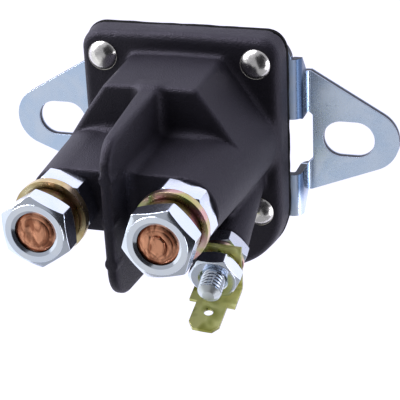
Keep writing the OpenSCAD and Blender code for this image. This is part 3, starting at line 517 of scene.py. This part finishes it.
def inner_finish(name, tone, metallic, roughness, grain_mm, depth_mm, stretch=(1, 1, 1)):
    """Finish of a piece inside the cover: clouded colour, grained roughness and fine bump."""
    made = Finish(name, metallic)
    made.colour(made.mix(made.noise(grain_mm * 8, 3.0).between(0.3, 0.7), tone, scaled(tone, 0.7)))
    made.rough(roughness * (0.8 + 0.4 * made.noise(grain_mm * 2)))
    made.bump(made.noise(grain_mm, stretch=stretch), depth_mm)
    return made.material


def winding_finish():
    """Enamelled wire laid side by side: a fine raised bead for each turn along the coil's axis, with
    painted shade darker in the grooves between turns.
    """
    made = Finish("enamelled_copper", Coat_Weight=0.5)
    wire = 0.22
    wire_ridge_and_shade = made.node("ShaderNodeMath", {"operation": "PINGPONG"}, {0: made.axis(2), 1: wire}) * (1 / wire)
    # painted shade: the colour darkens towards the grooves between turns and lightens on the crests
    made.colour(made.mix(wire_ridge_and_shade, (0.16, 0.05, 0.02), (0.52, 0.20, 0.08)))
    made.rough(0.2 + 0.12 * made.noise(0.7))
    made.bump(wire_ridge_and_shade, 0.12)
    return made.material


# Moulded cover

def hull_gap(u, v, circles, directions=150):
    """Signed distance to the hull of circles (u, v, r).

    It is the greatest value of n.p - max(n.c + r) over directions n all the way round.
    """
    best = -math.inf
    for angle in ring_angles(directions):
        c, s = math.cos(angle), math.sin(angle)
        reach = np.max([cu * c + cv * s + r for cu, cv, r in circles], axis=0)
        best = np.maximum(best, u * c + v * s - reach)
    return best


def both(a, b, r):
    """Overlap of two distances with its outer edge rounded to radius r."""
    outside = np.sqrt(np.maximum(a + r, 0) ** 2 + np.maximum(b + r, 0) ** 2)
    return outside + np.minimum(np.maximum(a + r, b + r), 0) - r


def either(a, b, r):
    """Union of two distances with its inner corner filled to radius r."""
    near = np.sqrt(np.maximum(r - a, 0) ** 2 + np.maximum(r - b, 0) ** 2)
    return np.where(np.minimum(a, b) < r, np.maximum(r, np.minimum(a, b)) - near, np.minimum(a, b))


def cover_gap(x, y, z):
    """Signed distance to the moulded cover, negative in the plastic.

    Each form is a distance: hulls of circles for flange, body and fin, cones for towers
    and boss, slabs for the web, joined with filled corners and cut by the cavity.
    """
    taper, body_end, pad_spacing, pad_r = 0.7, (8.8, 16.2), 8.6, 1.35
    wall = hull_gap(x, y, FLANGE_CORNERS) + taper * (z - FLANGE_Z) / (FACE_Z - FLANGE_Z)
    from_rivet = np.minimum.reduce([np.hypot(x - rx, y - ry) for rx, ry in RIVETS])
    y, h, ax = y - AXIS_Y, z - FACE_Z, np.abs(x)
    flange = np.maximum(both(wall, h, 1.6), FLANGE_Z - z)

    rise = np.clip(h, 0, BODY_TOP)
    hexagon = [(side * STUD_X, 0.0, TOWER_R - rise / DRAFT) for side in (-1, 1)]
    hexagon += [(side * body_end[0], body_end[1], 2.0 - 0.6 * rise / BODY_TOP) for side in (-1, 1)]
    body = np.maximum(both(hull_gap(ax, np.abs(y), hexagon), h - BODY_TOP, 1.0), -h - 1)
    gap = either(flange, body, 1.2)

    root, lip = BODY_TOP - 1.2 - h, 0.45
    tower_r = TOWER_R - h / DRAFT
    from_stud = np.hypot(ax - STUD_X, y)
    tower = both(np.maximum(from_stud - tower_r, root), h - TOWER_TOP, lip)
    web = both(np.maximum(y - (tower_r - 0.06), ax - STUD_X), -5.8 - y, 0.5)
    web = np.maximum(both(web, h - TOWER_TOP, lip), root)
    fill = 1.8 * np.clip((STUD_X + 4.0 - ax) / 6.0, 0.02, 1)
    gap = either(gap, either(tower, web, 0.15), fill)

    rim = [(10.9, 38.8, 5.0), (-10.5, 37.6, 6.5), (17.7, 12.0, 0.0), (-17.8, 12.0, 0.0)]
    rim += [(b, FIN_TOP - 0.0025 * b * b, 0.0) for b in np.linspace(-9, 12, 8)]
    half = 2.0 - 0.9 * (h - BODY_TOP) / (FIN_TOP - BODY_TOP)
    fin = np.maximum(both(hull_gap(y, h, rim), ax - half, 0.95), BODY_TOP - 2.0 - h)
    for k in (-1, 0, 1):
        pad = both(np.hypot(x, y - k * pad_spacing) - pad_r, h - (FIN_TOP - 0.2), 0.3)
        fin = either(fin, np.maximum(pad, FIN_TOP - 3.3 - h), 0.2)
    gap = either(gap, fin, 1.9)

    px, py = x - COIL_FOOT[0], y - (COIL_FOOT[1] - AXIS_Y)
    along = px * COIL_TURN[0, 2] + py * COIL_TURN[1, 2] + h * COIL_TURN[2, 2]
    around = np.sqrt(np.maximum(px**2 + py**2 + h**2 - along**2, 0))
    boss = both(around - (4.3 + 0.5 * along / COIL_SEAT), along - COIL_SEAT, 0.4)
    gap = either(gap, np.maximum(boss, -along - 2), 0.8)

    middle = np.hypot(x, y)
    hollow = np.where(z > COIL_BORE_LOW, around - COIL_BORE_R, math.inf)
    for reach, (radius, top) in (
        *((middle, step) for step in CAVITY), *((from_stud, step) for step in STUD_BORE),
        (from_rivet, RIVET_BORE),
    ):
        hollow = np.minimum(hollow, np.maximum(reach - radius, z - top))
    return np.maximum(gap, -hollow)


def stepped(low, high, zones, fine, coarse):
    """Grid lines from low to high: fine steps inside the zones and coarse ones between."""
    lines, at = [low], low
    while at < high:
        at += fine if any(a <= at <= b for a, b in zones) else coarse
        lines.append(at)
    return np.array(lines, np.float32)


def surface_of(gap_of, xs, ys, zs):
    """Surface where a distance field is zero, as one vertex per crossed cell.

    A vertex is the mean of its cell's edge crossings, then slides down the gradient
    onto the zero level. A quad joins the four cells round each crossed grid edge.
    """
    grid = np.stack(np.meshgrid(xs, ys, zs, indexing="ij"), -1)
    field = gap_of(xs[:, None, None], ys[None, :, None], zs[None, None, :]).astype(np.float32)
    inside = field < 0
    cells = tuple(n - 1 for n in field.shape)
    total, hits = np.zeros((*cells, 3), np.float32), np.zeros(cells, np.int8)
    for axis in range(3):
        b, c = (k for k in range(3) if k != axis)
        near = tuple(slice(0, cells[k] + (k != axis)) for k in range(3))
        far = tuple(slice(int(k == axis), None) for k in range(3))
        crossed = inside[near] != inside[far]
        share = np.where(crossed, field[near] / np.where(crossed, field[near] - field[far], 1), 0)
        at = (grid[near] + (grid[far] - grid[near]) * share[..., None]) * crossed[..., None]
        for db in (0, 1):
            for dc in (0, 1):
                window = [slice(None)] * 3
                window[b], window[c] = slice(db, cells[b] + db), slice(dc, cells[c] + dc)
                hits += crossed[tuple(window)]
                total += at[tuple(window)]
    used = hits > 0
    number = np.cumsum(used.ravel()).reshape(cells) - 1
    points = (total[used] / hits[used][:, None]).astype(np.float64)
    faces = []
    for axis in range(3):
        b, c = (axis + 1) % 3, (axis + 2) % 3
        low_in = np.take(inside, range(cells[axis]), axis)
        high_in = np.take(inside, range(1, cells[axis] + 1), axis)
        for sign, where in ((1, low_in & ~high_in), (-1, ~low_in & high_in)):
            spot = np.argwhere(where)
            ring = []
            for ob, oc in ((0, 0), (-1, 0), (-1, -1), (0, -1))[::sign]:
                cell = spot.copy()
                cell[:, b] += ob
                cell[:, c] += oc
                ring.append(number[tuple(cell.T)])
            faces.append(np.stack(ring, -1))
    return slide_onto(gap_of, points), np.concatenate(faces)


def slide_onto(gap_of, points, rounds=3, reach=0.02):
    """Moves points down the field's gradient until the distance there is zero."""
    for _ in range(rounds):
        here = gap_of(*points.T)
        slope = np.stack([
            gap_of(*(points + reach * unit).T) - gap_of(*(points - reach * unit).T) for unit in np.eye(3)
        ], -1) / (2 * reach)
        length = np.maximum((slope**2).sum(-1), 0.25)
        step = slope * (here / length)[:, None]
        size = np.linalg.norm(step, axis=-1, keepdims=True)
        points = points - step * np.minimum(1, 0.3 / np.maximum(size, 1e-9))
    return points


class RELAY_OT_cover(bpy.types.Operator):
    """Moulded cover with filled inner corners and rounded edges"""

    bl_idname = "relay.cover"
    bl_label = "Moulded Cover"

    def execute(self, context):
        step = context.scene.relay_sizes.cover_step * 1000
        xs = stepped(-22.7, 22.7, [(-2.6, 2.6)], 0.75 * step, step)
        ys = stepped(-28.3, 27.0, [], step, step)
        zones = [(9.9, 10.6), (13.8, 17.2), (31.0, 35.0), (49.8, 51.8), (55.0, 62.0)]
        zs = stepped(9.83, 62.2, zones, 0.75 * step, 1.5 * step)
        points, quads = surface_of(cover_gap, xs, ys, zs)
        low, high = np.array(NODES["cover"].bound_box)[[0, 6]] / MM
        parts = [(np.clip(points, low, high), quads, 0)]
        materials = [moulding_finish()]
        add_piece("moulded_cover", "cover", materials, parts, 50, False, 1e-7, False)
        return {"FINISHED"}


# Sheet metal

def rounded_copy(node, name, materials, width_mm, is_edge):
    """Copy of a sheet node: flat faces merged, cut edges rounded over and given the second material."""
    mesh = NODES[node].data.copy()
    mesh.name = name
    dress(mesh, materials)
    work = bmesh.new()
    work.from_mesh(mesh)
    bmesh.ops.remove_doubles(work, verts=work.verts, dist=2e-6)
    bmesh.ops.dissolve_limit(work, angle_limit=math.radians(0.6), verts=work.verts, edges=work.edges)
    for face in work.faces:
        face.material_index = int(is_edge(face))
    work.to_mesh(mesh)
    work.free()
    mesh.shade_smooth()
    piece = place(name, mesh, node)
    bevel = piece.modifiers.new("rounded_edges", "BEVEL")
    bevel.width = width_mm * MM
    bevel.segments = 2
    bevel.limit_method = "ANGLE"
    bevel.angle_limit = math.radians(28)
    bevel.miter_outer = "MITER_ARC"
    even_normals(piece)


class RELAY_OT_bracket(bpy.types.Operator):
    """Stepped steel bracket with rolled edges under bright zinc plate"""

    bl_idname = "relay.bracket"
    bl_label = "Bracket"

    def execute(self, context):
        tone = tuple(context.scene.relay_finish.zinc)
        sheet = zinc_finish("bracket_zinc", tone, 0.27, 0.8, True)
        thickest = 2.0 * MM

        def is_edge(face):
            levels = [corner.co.z for corner in face.verts]
            in_sheet = abs(face.normal.z) < 0.02 and max(levels) - min(levels) < thickest
            return in_sheet or abs(face.normal.y) > 0.25

        edge_r = context.scene.relay_sizes.sheet_edge * 1000
        materials = [sheet, cut_edge_finish(tone)]
        rounded_copy("bracket", "stepped_bracket", materials, edge_r, is_edge)
        return {"FINISHED"}


class RELAY_OT_tab(bpy.types.Operator):
    """Push-on tab bent from yellow passivated sheet"""

    bl_idname = "relay.tab"
    bl_label = "Tab Terminal"

    def execute(self, context):
        sheet = yellow_finish("tab_zinc", (1.18, 1.16, 0.9), OLIVE, 0.3, 0.28)
        cut = yellow_finish("tab_edge_zinc", 0.4, OLIVE)
        across = Vector(COIL_TURN @ turn(2, 5) @ (1, 0, 0))
        rounded_copy(
            "tab_terminal", "push_on_tab", [sheet, cut], 0.1,
            lambda face: abs(face.normal.dot(across)) > 0.3,
        )
        return {"FINISHED"}


def flange_edge(angles):
    """Outline of the flange: the point at each angle where the hull of its corners ends.

    The radius for an angle is found by halving the interval where hull_gap changes sign.
    """
    c, s = np.cos(angles), np.sin(angles)
    near, far = 0 * angles, 45.0 + 0 * angles
    for _ in range(34):
        middle = (near + far) / 2
        out = hull_gap(middle * c, middle * s, FLANGE_CORNERS, 240) > 0
        near, far = np.where(out, near, middle), np.where(out, middle, far)
    return np.stack([near * c, near * s], -1)


class RELAY_OT_gasket(bpy.types.Operator):
    """Gasket sheet whose squeezed edge swells and waves a little"""

    bl_idname = "relay.gasket"
    bl_label = "Gasket"

    def execute(self, context):
        angles = ring_angles(360)
        edge = flange_edge(angles)
        out = edge / np.linalg.norm(edge, axis=-1, keepdims=True)
        waves = ((0.05, 9, 1), (0.03, 23, 0), (0.02, 41, 2))
        swell = 0.07 + sum(size * np.sin(count * angles + shift) for size, count, shift in waves)
        hole = CAN_BORE_R * np.stack([np.cos(angles), np.sin(angles)], -1) + [0, AXIS_Y]
        insets = ((0.25, 0.0), (0.03, 0.18), (-0.02, 0.5))
        lower = [(hole, 0.0)] + [(edge + out * (swell - inset)[:, None], level) for inset, level in insets]
        rows = lower + [(flat, GASKET_THICK - level) for flat, level in reversed(lower)]
        grid = np.stack([np.insert(flat, 2, GASKET_Z + level, axis=1) for flat, level in rows])
        parts = [skin(grid, closed=True)]
        add_piece("gasket_sheet", "gasket", [gasket_finish()], parts, 40, False)
        return {"FINISHED"}


class RELAY_OT_rivets(bpy.types.Operator):
    """Four domed rivets with shanks and upset tails"""

    bl_idname = "relay.rivets"
    bl_label = "Rivets"

    def execute(self, context):
        angles = ring_angles(64)
        head_r, head_h, shank_r = 3.2, 1.8, 2.0
        dome = (head_r**2 + head_h**2) / (2 * head_h)
        rise = np.linspace(0, math.asin(head_r / dome) * 0.985, 14)
        profile = [(dome * math.sin(a), FACE_Z + head_h - dome * (1 - math.cos(a))) for a in rise]
        profile += [(head_r, FACE_Z + 0.12), (head_r - 0.1, FACE_Z + 0.01), (shank_r, FACE_Z)]
        profile += [(shank_r, 7.0), (3.0, 5.84), (2.6, 5.81), (1.0, 5.84), (0, 5.88)]
        rivet = turned(profile, angles)
        parts = [skin(rivet + [x, y, 0]) for x, y in RIVETS]
        add_piece("domed_rivets", "rivets", [nickel_finish()], parts, 40, False)
        return {"FINISHED"}


# Battery studs, nuts and washers

def dents(x, y, start, count=18):
    """Hammered relief: high and low spots in turn at golden-angle places, each exp(-(distance / 0.5)^2)."""
    level = 0
    for k in range(count):
        angle, reach = start + 2.4 * k, 3.1 * math.sqrt((k + 0.5) / count)
        spot = (x - reach * math.cos(angle)) ** 2 + (y - reach * math.sin(angle)) ** 2
        level = level + (-1) ** k * np.exp(-spot / 0.25)
    return level


# Plateau of the right copper end: direction in radians and distance of each side
PLATEAU = (
    (0.10, 1.45), (0.75, 1.52), (1.62, 1.62), (2.90, 1.36), (3.60, 1.75), (-0.95, 1.95), (-2.20, 1.75),
)


def copper_end(right, r, a):
    """Height of a cropped copper end over radius and angle.

    Both are domed, -0.40 (r / 3.4)^4, with a groove near the rim and a hammered relief. The right one
    has a plateau inside a creased outline, and the left one an off-centre dent.
    """
    x, y = r * np.cos(a), r * np.sin(a)
    level = -0.40 * (r / 3.4) ** 4 - 0.07 * np.exp(-(((r - 2.95) / 0.15) ** 2))
    if right:
        edge = np.max([x * math.cos(t) + y * math.sin(t) - d for t, d in PLATEAU], axis=0)
        deep = 0.3 + 0.7 * np.clip(np.cos(a - 0.7) + 0.35, 0, 1)
        level = level - 0.36 * deep * np.exp(-(((edge - 0.15) / 0.18) ** 2))
        level = level + 0.012 * np.sin(15 * (y + 0.2 * x)) * (edge < 0)
        level = level + 0.08 * dents(x, y, 0.6) * (edge > 0.1)
    else:
        level = level - 0.42 * np.exp(-(((x + 0.9) / 0.9) ** 2) - ((y - 0.7) / 1.2) ** 2)
        level = level + 0.09 * dents(x, y, 2.1)
    return np.minimum(level, 0)


class RELAY_OT_studs(bpy.types.Operator):
    """Two copper battery studs with rolled threads and cropped ends"""

    bl_idname = "relay.studs"
    bl_label = "Battery Studs"

    def execute(self, context):
        sizes = context.scene.relay_sizes
        radius, pitch, depth = sizes.stud_diameter * 500, sizes.stud_pitch * 1000, 0.55
        crest, foot_z, thread_z = radius - 0.02, 31.0, 36.0
        angles, hexagon = ring_angles(72), hex_angles(10)
        across = hex_radius(hexagon, 11.0, 0.4)
        outline = ((0, 30.85), (0.93, 30.85), (1, 31.15), (1, 34.55), (0.95, 34.85), (0, 34.85))
        head = turned([(share * across, level) for share, level in outline], hexagon)
        shank = [(0, foot_z), (crest, foot_z)]
        shank += thread_rows(crest, thread_z, STUD_END_Z - 0.85, pitch, depth, angles)
        parts = []
        for side in (-1, 1):
            pattern = partial(copper_end, side > 0)
            end = stud_end_rows(radius - 0.06, STUD_END_Z, 0.72, radius - 0.4, pattern, angles, 44)
            at = [side * STUD_X, AXIS_Y, 0]
            parts += [skin(turned(shank + end, angles) + at), skin(head + at)]
        add_piece("copper_studs", "main_studs", [copper_finish()], parts, 55)
        return {"FINISHED"}


class RELAY_OT_nuts(bpy.types.Operator):
    """Base nuts and outer nuts of the battery studs"""

    bl_idname = "relay.nuts"
    bl_label = "Battery Stud Nuts"

    def execute(self, context):
        sizes = context.scene.relay_sizes
        flats, pitch = sizes.nut_flats * 1000, sizes.stud_pitch * 1000
        bore = sizes.stud_diameter * 500 + 0.05
        material = zinc_finish("nut_zinc", tuple(context.scene.relay_finish.nut), 0.17)
        for name, node, level, thick, turns, ring_share in (
            ("base_nut_pair", "base_nuts", BASE_NUT_Z, 5.6, (-14, -14), 0.95),
            ("outer_nut_pair", "outer_nuts", OUTER_NUT_Z, 4.7, (35, 11), 0.91),
        ):
            nut = nut_rows(flats, thick, bore, pitch, ring_share)
            parts = [
                skin(nut @ turn(2, degrees).T + [side * STUD_X, AXIS_Y, level], closed=True)
                for side, degrees in zip((-1, 1), turns)
            ]
            add_piece(name, node, [material], parts, 24)
        return {"FINISHED"}


def washer_rows(radius, bore, thick, angles, burr=0.05, wave=0.02):
    """Blanked washer: one face rolled over at its edge, the other with a fine burr."""
    edge = radius * (1 + 0.0008 * np.sin(5 * angles))
    lift = 0.4 * wave * np.sin(2 * angles + 0.7)
    rows = (
        (bore, 0.12, 0), (bore + 0.12, 0.0, 0), (edge - 0.3, 0.0, 1), (edge - 0.06, 0.05, 1),
        (edge, 0.22, 1), (edge, thick - burr - 0.05, 1), (edge - 0.05, thick - 0.01, 1),
        (edge - 0.22, thick - 0.02, 1),
        (bore + 0.25, thick, 0), (bore + 0.05, thick - 0.12, 0), (bore, thick - 0.3, 0),
    )
    return turned([(r, np.clip(z + share * lift, 0, thick)) for r, z, share in rows], angles)


def split_ring(bore):
    """Square section with soft corners carried once round a rising helix and capped at both ends."""
    outer, thick, rise, soft = 6.1, 2.0, 0.9, 0.16
    mouth, start = 9.0, 225.0
    w = outer - bore
    section = np.array([
        (soft, 0), (w - soft, 0), (w - 0.05, 0.05), (w, soft), (w, thick - soft), (w - 0.05, thick - 0.05),
        (w - soft, thick), (soft, thick), (0.05, thick - 0.05), (0, thick - soft), (0, soft), (0.05, 0.05),
    ])
    share = np.pad(np.linspace(0, 1, 110), 2, mode="edge")
    sweep = np.radians(start + mouth + (360 - 2 * mouth) * share)[:, None]
    scale = np.ones(len(share))
    scale[[0, -1]] = 0
    scale[[1, -2]] = 0.94
    middle = section.mean(0)
    flat = middle + (section - middle) * scale[:, None, None]
    r, z = bore + flat[..., 0], flat[..., 1] + rise * share[:, None]
    return np.stack([r * np.cos(sweep), r * np.sin(sweep), z], -1)


class RELAY_OT_washers(bpy.types.Operator):
    """Flat washers and split lock washers of the battery studs"""

    bl_idname = "relay.washers"
    bl_label = "Battery Stud Washers"

    def execute(self, context):
        bore = context.scene.relay_sizes.stud_diameter * 500 + 0.2
        gold, tan = yellow_finish("yellow_zinc"), yellow_finish("tan_zinc", 1.0, TAN)
        # painted shade: the split washers' yellow zinc is darkened to brown for the shade between flat
        # washer and nut, over the passivation's own brownish tint
        brown = yellow_finish("brown_zinc", (0.36, 0.22, 0.22))
        flat, split = washer_rows(7.27, bore, 1.8, ring_angles(96)), split_ring(bore)
        flats = [skin(flat + [s * STUD_X, AXIS_Y, FLAT_WASHER_Z], int(s < 0), True) for s in (-1, 1)]
        splits = [skin(split + [s * STUD_X, AXIS_Y, LOCK_WASHER_Z]) for s in (-1, 1)]
        add_piece("flat_washer_pair", "flat_washers", [gold, tan], flats, 35)
        add_piece("split_washer_pair", "lock_washers", [brown], splits, 35)
        return {"FINISHED"}


# Coil stud and what is on it

def star_rows(bore, outer, thick, teeth=10):
    """Tooth washer: the rim is notched between teeth, and each tooth is twisted about its own spoke."""
    angles = ring_angles(240)
    from_tooth = (angles * teeth / (2 * np.pi)) % 1 - 0.5
    solid = np.clip((np.abs(from_tooth) * 2 - 0.28) / 0.12, 0, 1)
    rim = outer - 0.95 * (1 - solid)
    twist, sheet = 0.273 * np.sin(2 * np.pi * from_tooth), 0.62
    rows = (
        (bore, -0.5, 0), (rim - 0.9, -0.5, 0.1), (rim - 0.05, -0.5, 1), (rim, -0.35, 1),
        (rim, 0.35, 1), (rim - 0.05, 0.5, 1), (rim - 0.9, 0.5, 0.1), (bore, 0.5, 0),
    )
    return turned([
        (r, np.clip(thick / 2 + half * sheet + share * twist, 0, thick)) for r, half, share in rows
    ], angles)


class RELAY_OT_coil_stud(bpy.types.Operator):
    """Leaning coil stud with its thread, nuts, flat washer and star washer"""

    bl_idname = "relay.coil_stud"
    bl_label = "Coil Stud"

    def execute(self, context):
        sizes, tone = context.scene.relay_sizes, tuple(context.scene.relay_finish.nut)
        radius, pitch = sizes.coil_diameter * 500, sizes.coil_pitch * 1000
        bright = zinc_finish("coil_nut_zinc", tone, 0.16, 0.4)
        steel = zinc_finish("coil_stud_zinc", scaled(tone, 0.95), 0.2, 0.4)
        olive = zinc_finish("coil_stud_end_zinc", (0.82, 0.84, 0.80), 0.40, 0.6)
        dull = zinc_finish("coil_base_zinc", scaled(tone, 0.72), 0.3, 0.9)
        yellow = yellow_finish("coil_yellow_zinc")

        angles = ring_angles(56)
        crest, top, foot, foot_r = radius - 0.01, COIL_SEAT + 13.99, COIL_SEAT - 9.5, 3.0
        shank = [(0, foot - 2.0), (foot_r, foot - 2.0), (foot_r, foot), (crest, foot)]
        shank += thread_rows(crest, COIL_SEAT - 6.0, top - 1.05, pitch, 0.5, angles, 12)
        dome = 0.12
        end = stud_end_rows(
            radius - 0.12, top - dome, 0.95, radius - 1.2,
            lambda r, _: dome - dome * (r / 1.2) ** 2, angles, 8,
        )
        rows = (turned(shank + end[:1], angles), turned(end, angles))
        parts = [skin(on_coil_stud(part), kind) for kind, part in enumerate(rows)]
        add_piece("threaded_coil_stud", "coil_stud", [steel, olive], parts, 26, False)

        nut = nut_rows(sizes.coil_nut_flats * 1000, 3.2, radius + 0.05, pitch)
        flat = washer_rows(5.0, radius + 0.1, 1.0, ring_angles(72), 0.03, 0.01)
        star = star_rows(radius + 0.1, 4.4, 1.2)
        for name, node, slot, material, level, rows, sharp in (
            ("coil_base_nut", "coil_stud_base_nut", "nut_zinc", dull, 0, nut @ turn(2, 5).T, 24),
            ("coil_outer_nut", "coil_stud_nut", "nut_zinc", bright, 6.2, nut @ turn(2, 1).T, 24),
            ("coil_flat_washer", "coil_stud_washer", "yellow_zinc", yellow, 3.2, flat, 35),
            ("coil_star_washer", "coil_stud_star_washer", "yellow_zinc", yellow, 5.0, star, 35),
        ):
            rows = on_coil_stud(rows + [0, 0, COIL_SEAT + level])
            add_piece(name, node, [material], [skin(rows, closed=True)], sharp)
        return {"FINISHED"}


# Inside

class RELAY_OT_works(bpy.types.Operator):
    """Finishes of the pieces inside the cover"""

    bl_idname = "relay.works"
    bl_label = "Works Inside"

    def execute(self, context):
        for nodes, *finish in (
            ("yoke_can pole_plate plunger", "inner_steel", (0.50, 0.51, 0.53), 1.0, 0.35, 0.4, 0.01),
            ("bobbin", "nylon", (0.80, 0.78, 0.68), 0.0, 0.42, 0.5, 0.02),
            ("plunger_bumper", "bumper_rubber", (0.03, 0.03, 0.03), 0.0, 0.8, 0.4, 0.03),
            (
                "return_spring contact_spring retaining_clip",
                "spring_steel", (0.60, 0.60, 0.62), 1.0, 0.22, 0.3, 0.006,
            ),
            ("push_rod", "turned_brass", (0.72, 0.58, 0.30), 1.0, 0.28, 0.5, 0.01, (0.2, 0.2, 4)),
            ("lower_insulator upper_insulator", "red_fibre", (0.45, 0.10, 0.07), 0.0, 0.6, 0.4, 0.02),
        ):
            self.finish(nodes, inner_finish(*finish))
        self.finish("coil_winding coil_lead earth_lead", winding_finish())
        self.finish("contact_disc", copper_finish())
        return {"FINISHED"}

    @staticmethod
    def finish(nodes, material):
        for node in nodes.split():
            dress(NODES[node].data, [material])


# Stage

AIM = (0, 0.003, 0.03)


def facing(place_at):
    """Turn by which something at a place looks at AIM down its -Z axis."""
    return (Vector(AIM) - Vector(place_at)).to_track_quat("-Z", "Y")


def lamp(name, place_at, size, power, tone=(1, 1, 1)):
    """Rectangular soft light that faces the part."""
    light = bpy.data.lights.new(name, "AREA")
    light.shape = "RECTANGLE"
    light.size, light.size_y = size
    light.energy = power
    light.color = tone
    holder = bpy.data.objects.new(name, light)
    holder.location = place_at
    holder.rotation_euler = facing(place_at).to_euler()
    bpy.context.scene.collection.objects.link(holder)


SQUARE = np.array([(-1, -1, 0), (1, -1, 0), (1, 1, 0), (-1, 1, 0)])


def stage_sheet(name, corners, finish):
    """Four-cornered sheet of the stage."""
    mesh = bpy.data.meshes.new(name)
    mesh.from_pydata(corners.tolist(), [], [(0, 1, 2, 3)])
    mesh.materials.append(finish.material)
    sheet = bpy.data.objects.new(name, mesh)
    bpy.context.scene.collection.objects.link(sheet)


def card(name, place_at, size, grey):
    """Grey card that stands out of the picture and puts contrast into the bright metal."""
    finish = Finish(name, Roughness=0.8, Specular_IOR_Level=0.1)
    finish.colour(finish.mix(finish.noise(20.0), (0.9 * grey,) * 3, (1.1 * grey,) * 3))
    corners = SQUARE * (*size, 0) / 2 @ np.array(facing(place_at).to_matrix()).T
    stage_sheet(name, corners + place_at, finish)


def photograph_camera():
    """Camera that sees the part as the photograph does, fitted to points of it."""
    camera = bpy.data.cameras.new("photograph_view")
    camera.sensor_width = 36
    camera.lens = 128.188
    camera.dof.use_dof = False
    camera.clip_start, camera.clip_end = 0.01, 10
    right = Vector((0.953444, -0.042545, -0.298555))
    down = Vector((0.086600, -0.909674, 0.406194))
    back = Vector((0.288869, 0.413138, 0.863639))
    turned_to = Matrix((right, -down, back)).transposed().to_4x4()
    holder = bpy.data.objects.new("photograph_view", camera)
    holder.matrix_world = Matrix.Translation((0.092216, 0.115938, 0.280687)) @ turned_to
    return holder


class RELAY_OT_stage(bpy.types.Operator):
    """White studio ground, soft lights and the photograph's camera"""

    bl_idname = "relay.stage"
    bl_label = "Stage"

    def execute(self, context):
        scene = context.scene
        scene.view_settings.view_transform = "Standard"
        world = bpy.data.worlds.new("studio")
        scene.world = world
        world.use_nodes = True
        background = next(n for n in world.node_tree.nodes if n.type == "BACKGROUND")
        background.inputs["Color"].default_value = (0.92, 0.93, 1.0, 1)
        background.inputs["Strength"].default_value = 0.43

        glow = (0.86, 0.85, 1, 1)
        ground = Finish("white_ground", Roughness=0.9, Emission_Color=glow, Emission_Strength=1.15)
        ground.colour(ground.mix(ground.noise(60.0), (0.14,) * 3, (0.16,) * 3))
        reach, below = 6.0, 0.0002
        stage_sheet("ground", SQUARE * reach - (0, 0, below), ground)

        lamp("left_soft_box", (-0.60, -0.30, 0.28), (0.95, 0.50), 0.9, (0.95, 0.98, 1.0))
        lamp("top_soft_box", (-0.60, 0.64, 0.10), (1.10, 0.20), 12.5, (0.93, 0.92, 1.0))
        lamp("right_soft_box", (0.72, -0.16, 0.16), (0.60, 0.26), 1.6, (0.93, 0.92, 1.0))
        lamp("upper_soft_box", (-0.34, -0.32, 0.69), (0.60, 0.60), 0.3)
        card("dark_card", (0.50, 0.22, 0.55), (1.5, 0.9), 0.012)

        holder = photograph_camera()
        scene.collection.objects.link(holder)
        scene.camera = holder
        return {"FINISHED"}


# Sizes, colours and panel

def length(name, description, millimetres, low, high):
    """Length property in metres with its usual range."""
    return FloatProperty(
        name=name, description=description, default=millimetres * MM, min=low * MM, max=high * MM,
        precision=5, subtype="DISTANCE", unit="LENGTH",
    )


def tone(name, description, colour):
    """Colour property in linear values."""
    return FloatVectorProperty(
        name=name, description=description, default=colour, min=0, max=1, size=3, subtype="COLOR",
    )


class RelaySizes(bpy.types.PropertyGroup):
    stud_diameter: length("Battery Stud", "Diameter of the battery studs", 7.94, 6, 9)
    stud_pitch: length("Battery Stud Pitch", "Pitch of the battery studs' thread", 1.411, 0.8, 2)
    nut_flats: length("Nut Flats", "Width across flats of the battery stud nuts", 12.7, 11, 14)
    coil_diameter: length("Coil Stud", "Diameter of the coil stud", 4.83, 4, 6)
    coil_pitch: length("Coil Stud Pitch", "Pitch of the coil stud's thread", 0.794, 0.6, 1.3)
    coil_nut_flats: length("Coil Nut Flats", "Width across flats of the coil stud nuts", 9.53, 8, 10)
    sheet_edge: length("Sheet Edge", "Radius of the bracket's rolled edges", 0.16, 0.05, 0.4)
    cover_step: length("Cover Grid", "Cell of the grid that the cover is worked out on", 0.44, 0.3, 1.2)


class RelayFinish(bpy.types.PropertyGroup):
    moulding: tone("Moulding", "Colour of the black moulding", (0.0048, 0.0044, 0.0070))
    zinc: tone("Bracket Zinc", "Colour of the bracket's plating", (0.73, 0.84, 1.0))
    nut: tone("Nut Zinc", "Colour of the nuts' plating", (0.84, 0.89, 0.95))
    yellow: tone("Yellow Zinc", "Colour of the yellow passivated washers and tab", (0.50, 0.46, 0.17))
    copper: tone("Copper", "Colour of the bare copper", (0.62, 0.29, 0.17))


STEPS = (
    "cover", "bracket", "gasket", "rivets", "studs", "nuts", "washers", "coil_stud", "tab", "works",
    "stage",
)


class RELAY_PT_panel(bpy.types.Panel):
    """Lists the relay's sizes, colours and building steps"""

    bl_idname = "RELAY_PT_panel"
    bl_label = "Starter Solenoid Relay"
    bl_space_type = "VIEW_3D"
    bl_region_type = "UI"
    bl_category = "Relay"

    def draw(self, context):
        column = self.layout.column(align=True)
        for group in (context.scene.relay_sizes, context.scene.relay_finish):
            for key in group.__annotations__:
                column.prop(group, key)
        for step in STEPS:
            column.operator("relay." + step)


CLASSES = (
    RelaySizes, RelayFinish, RELAY_OT_cover, RELAY_OT_bracket, RELAY_OT_gasket, RELAY_OT_rivets,
    RELAY_OT_studs, RELAY_OT_nuts, RELAY_OT_washers, RELAY_OT_coil_stud, RELAY_OT_tab, RELAY_OT_works,
    RELAY_OT_stage, RELAY_PT_panel,
)


def register():
    for made in CLASSES:
        bpy.utils.register_class(made)
    bpy.types.Scene.relay_sizes = PointerProperty(type=RelaySizes)
    bpy.types.Scene.relay_finish = PointerProperty(type=RelayFinish)


def unregister():
    del bpy.types.Scene.relay_finish
    del bpy.types.Scene.relay_sizes
    for made in reversed(CLASSES):
        bpy.utils.unregister_class(made)


def main():
    """Builds every piece in order."""
    register()
    for step in STEPS:
        getattr(bpy.ops.relay, step)()


if __name__ == "__main__":
    main()
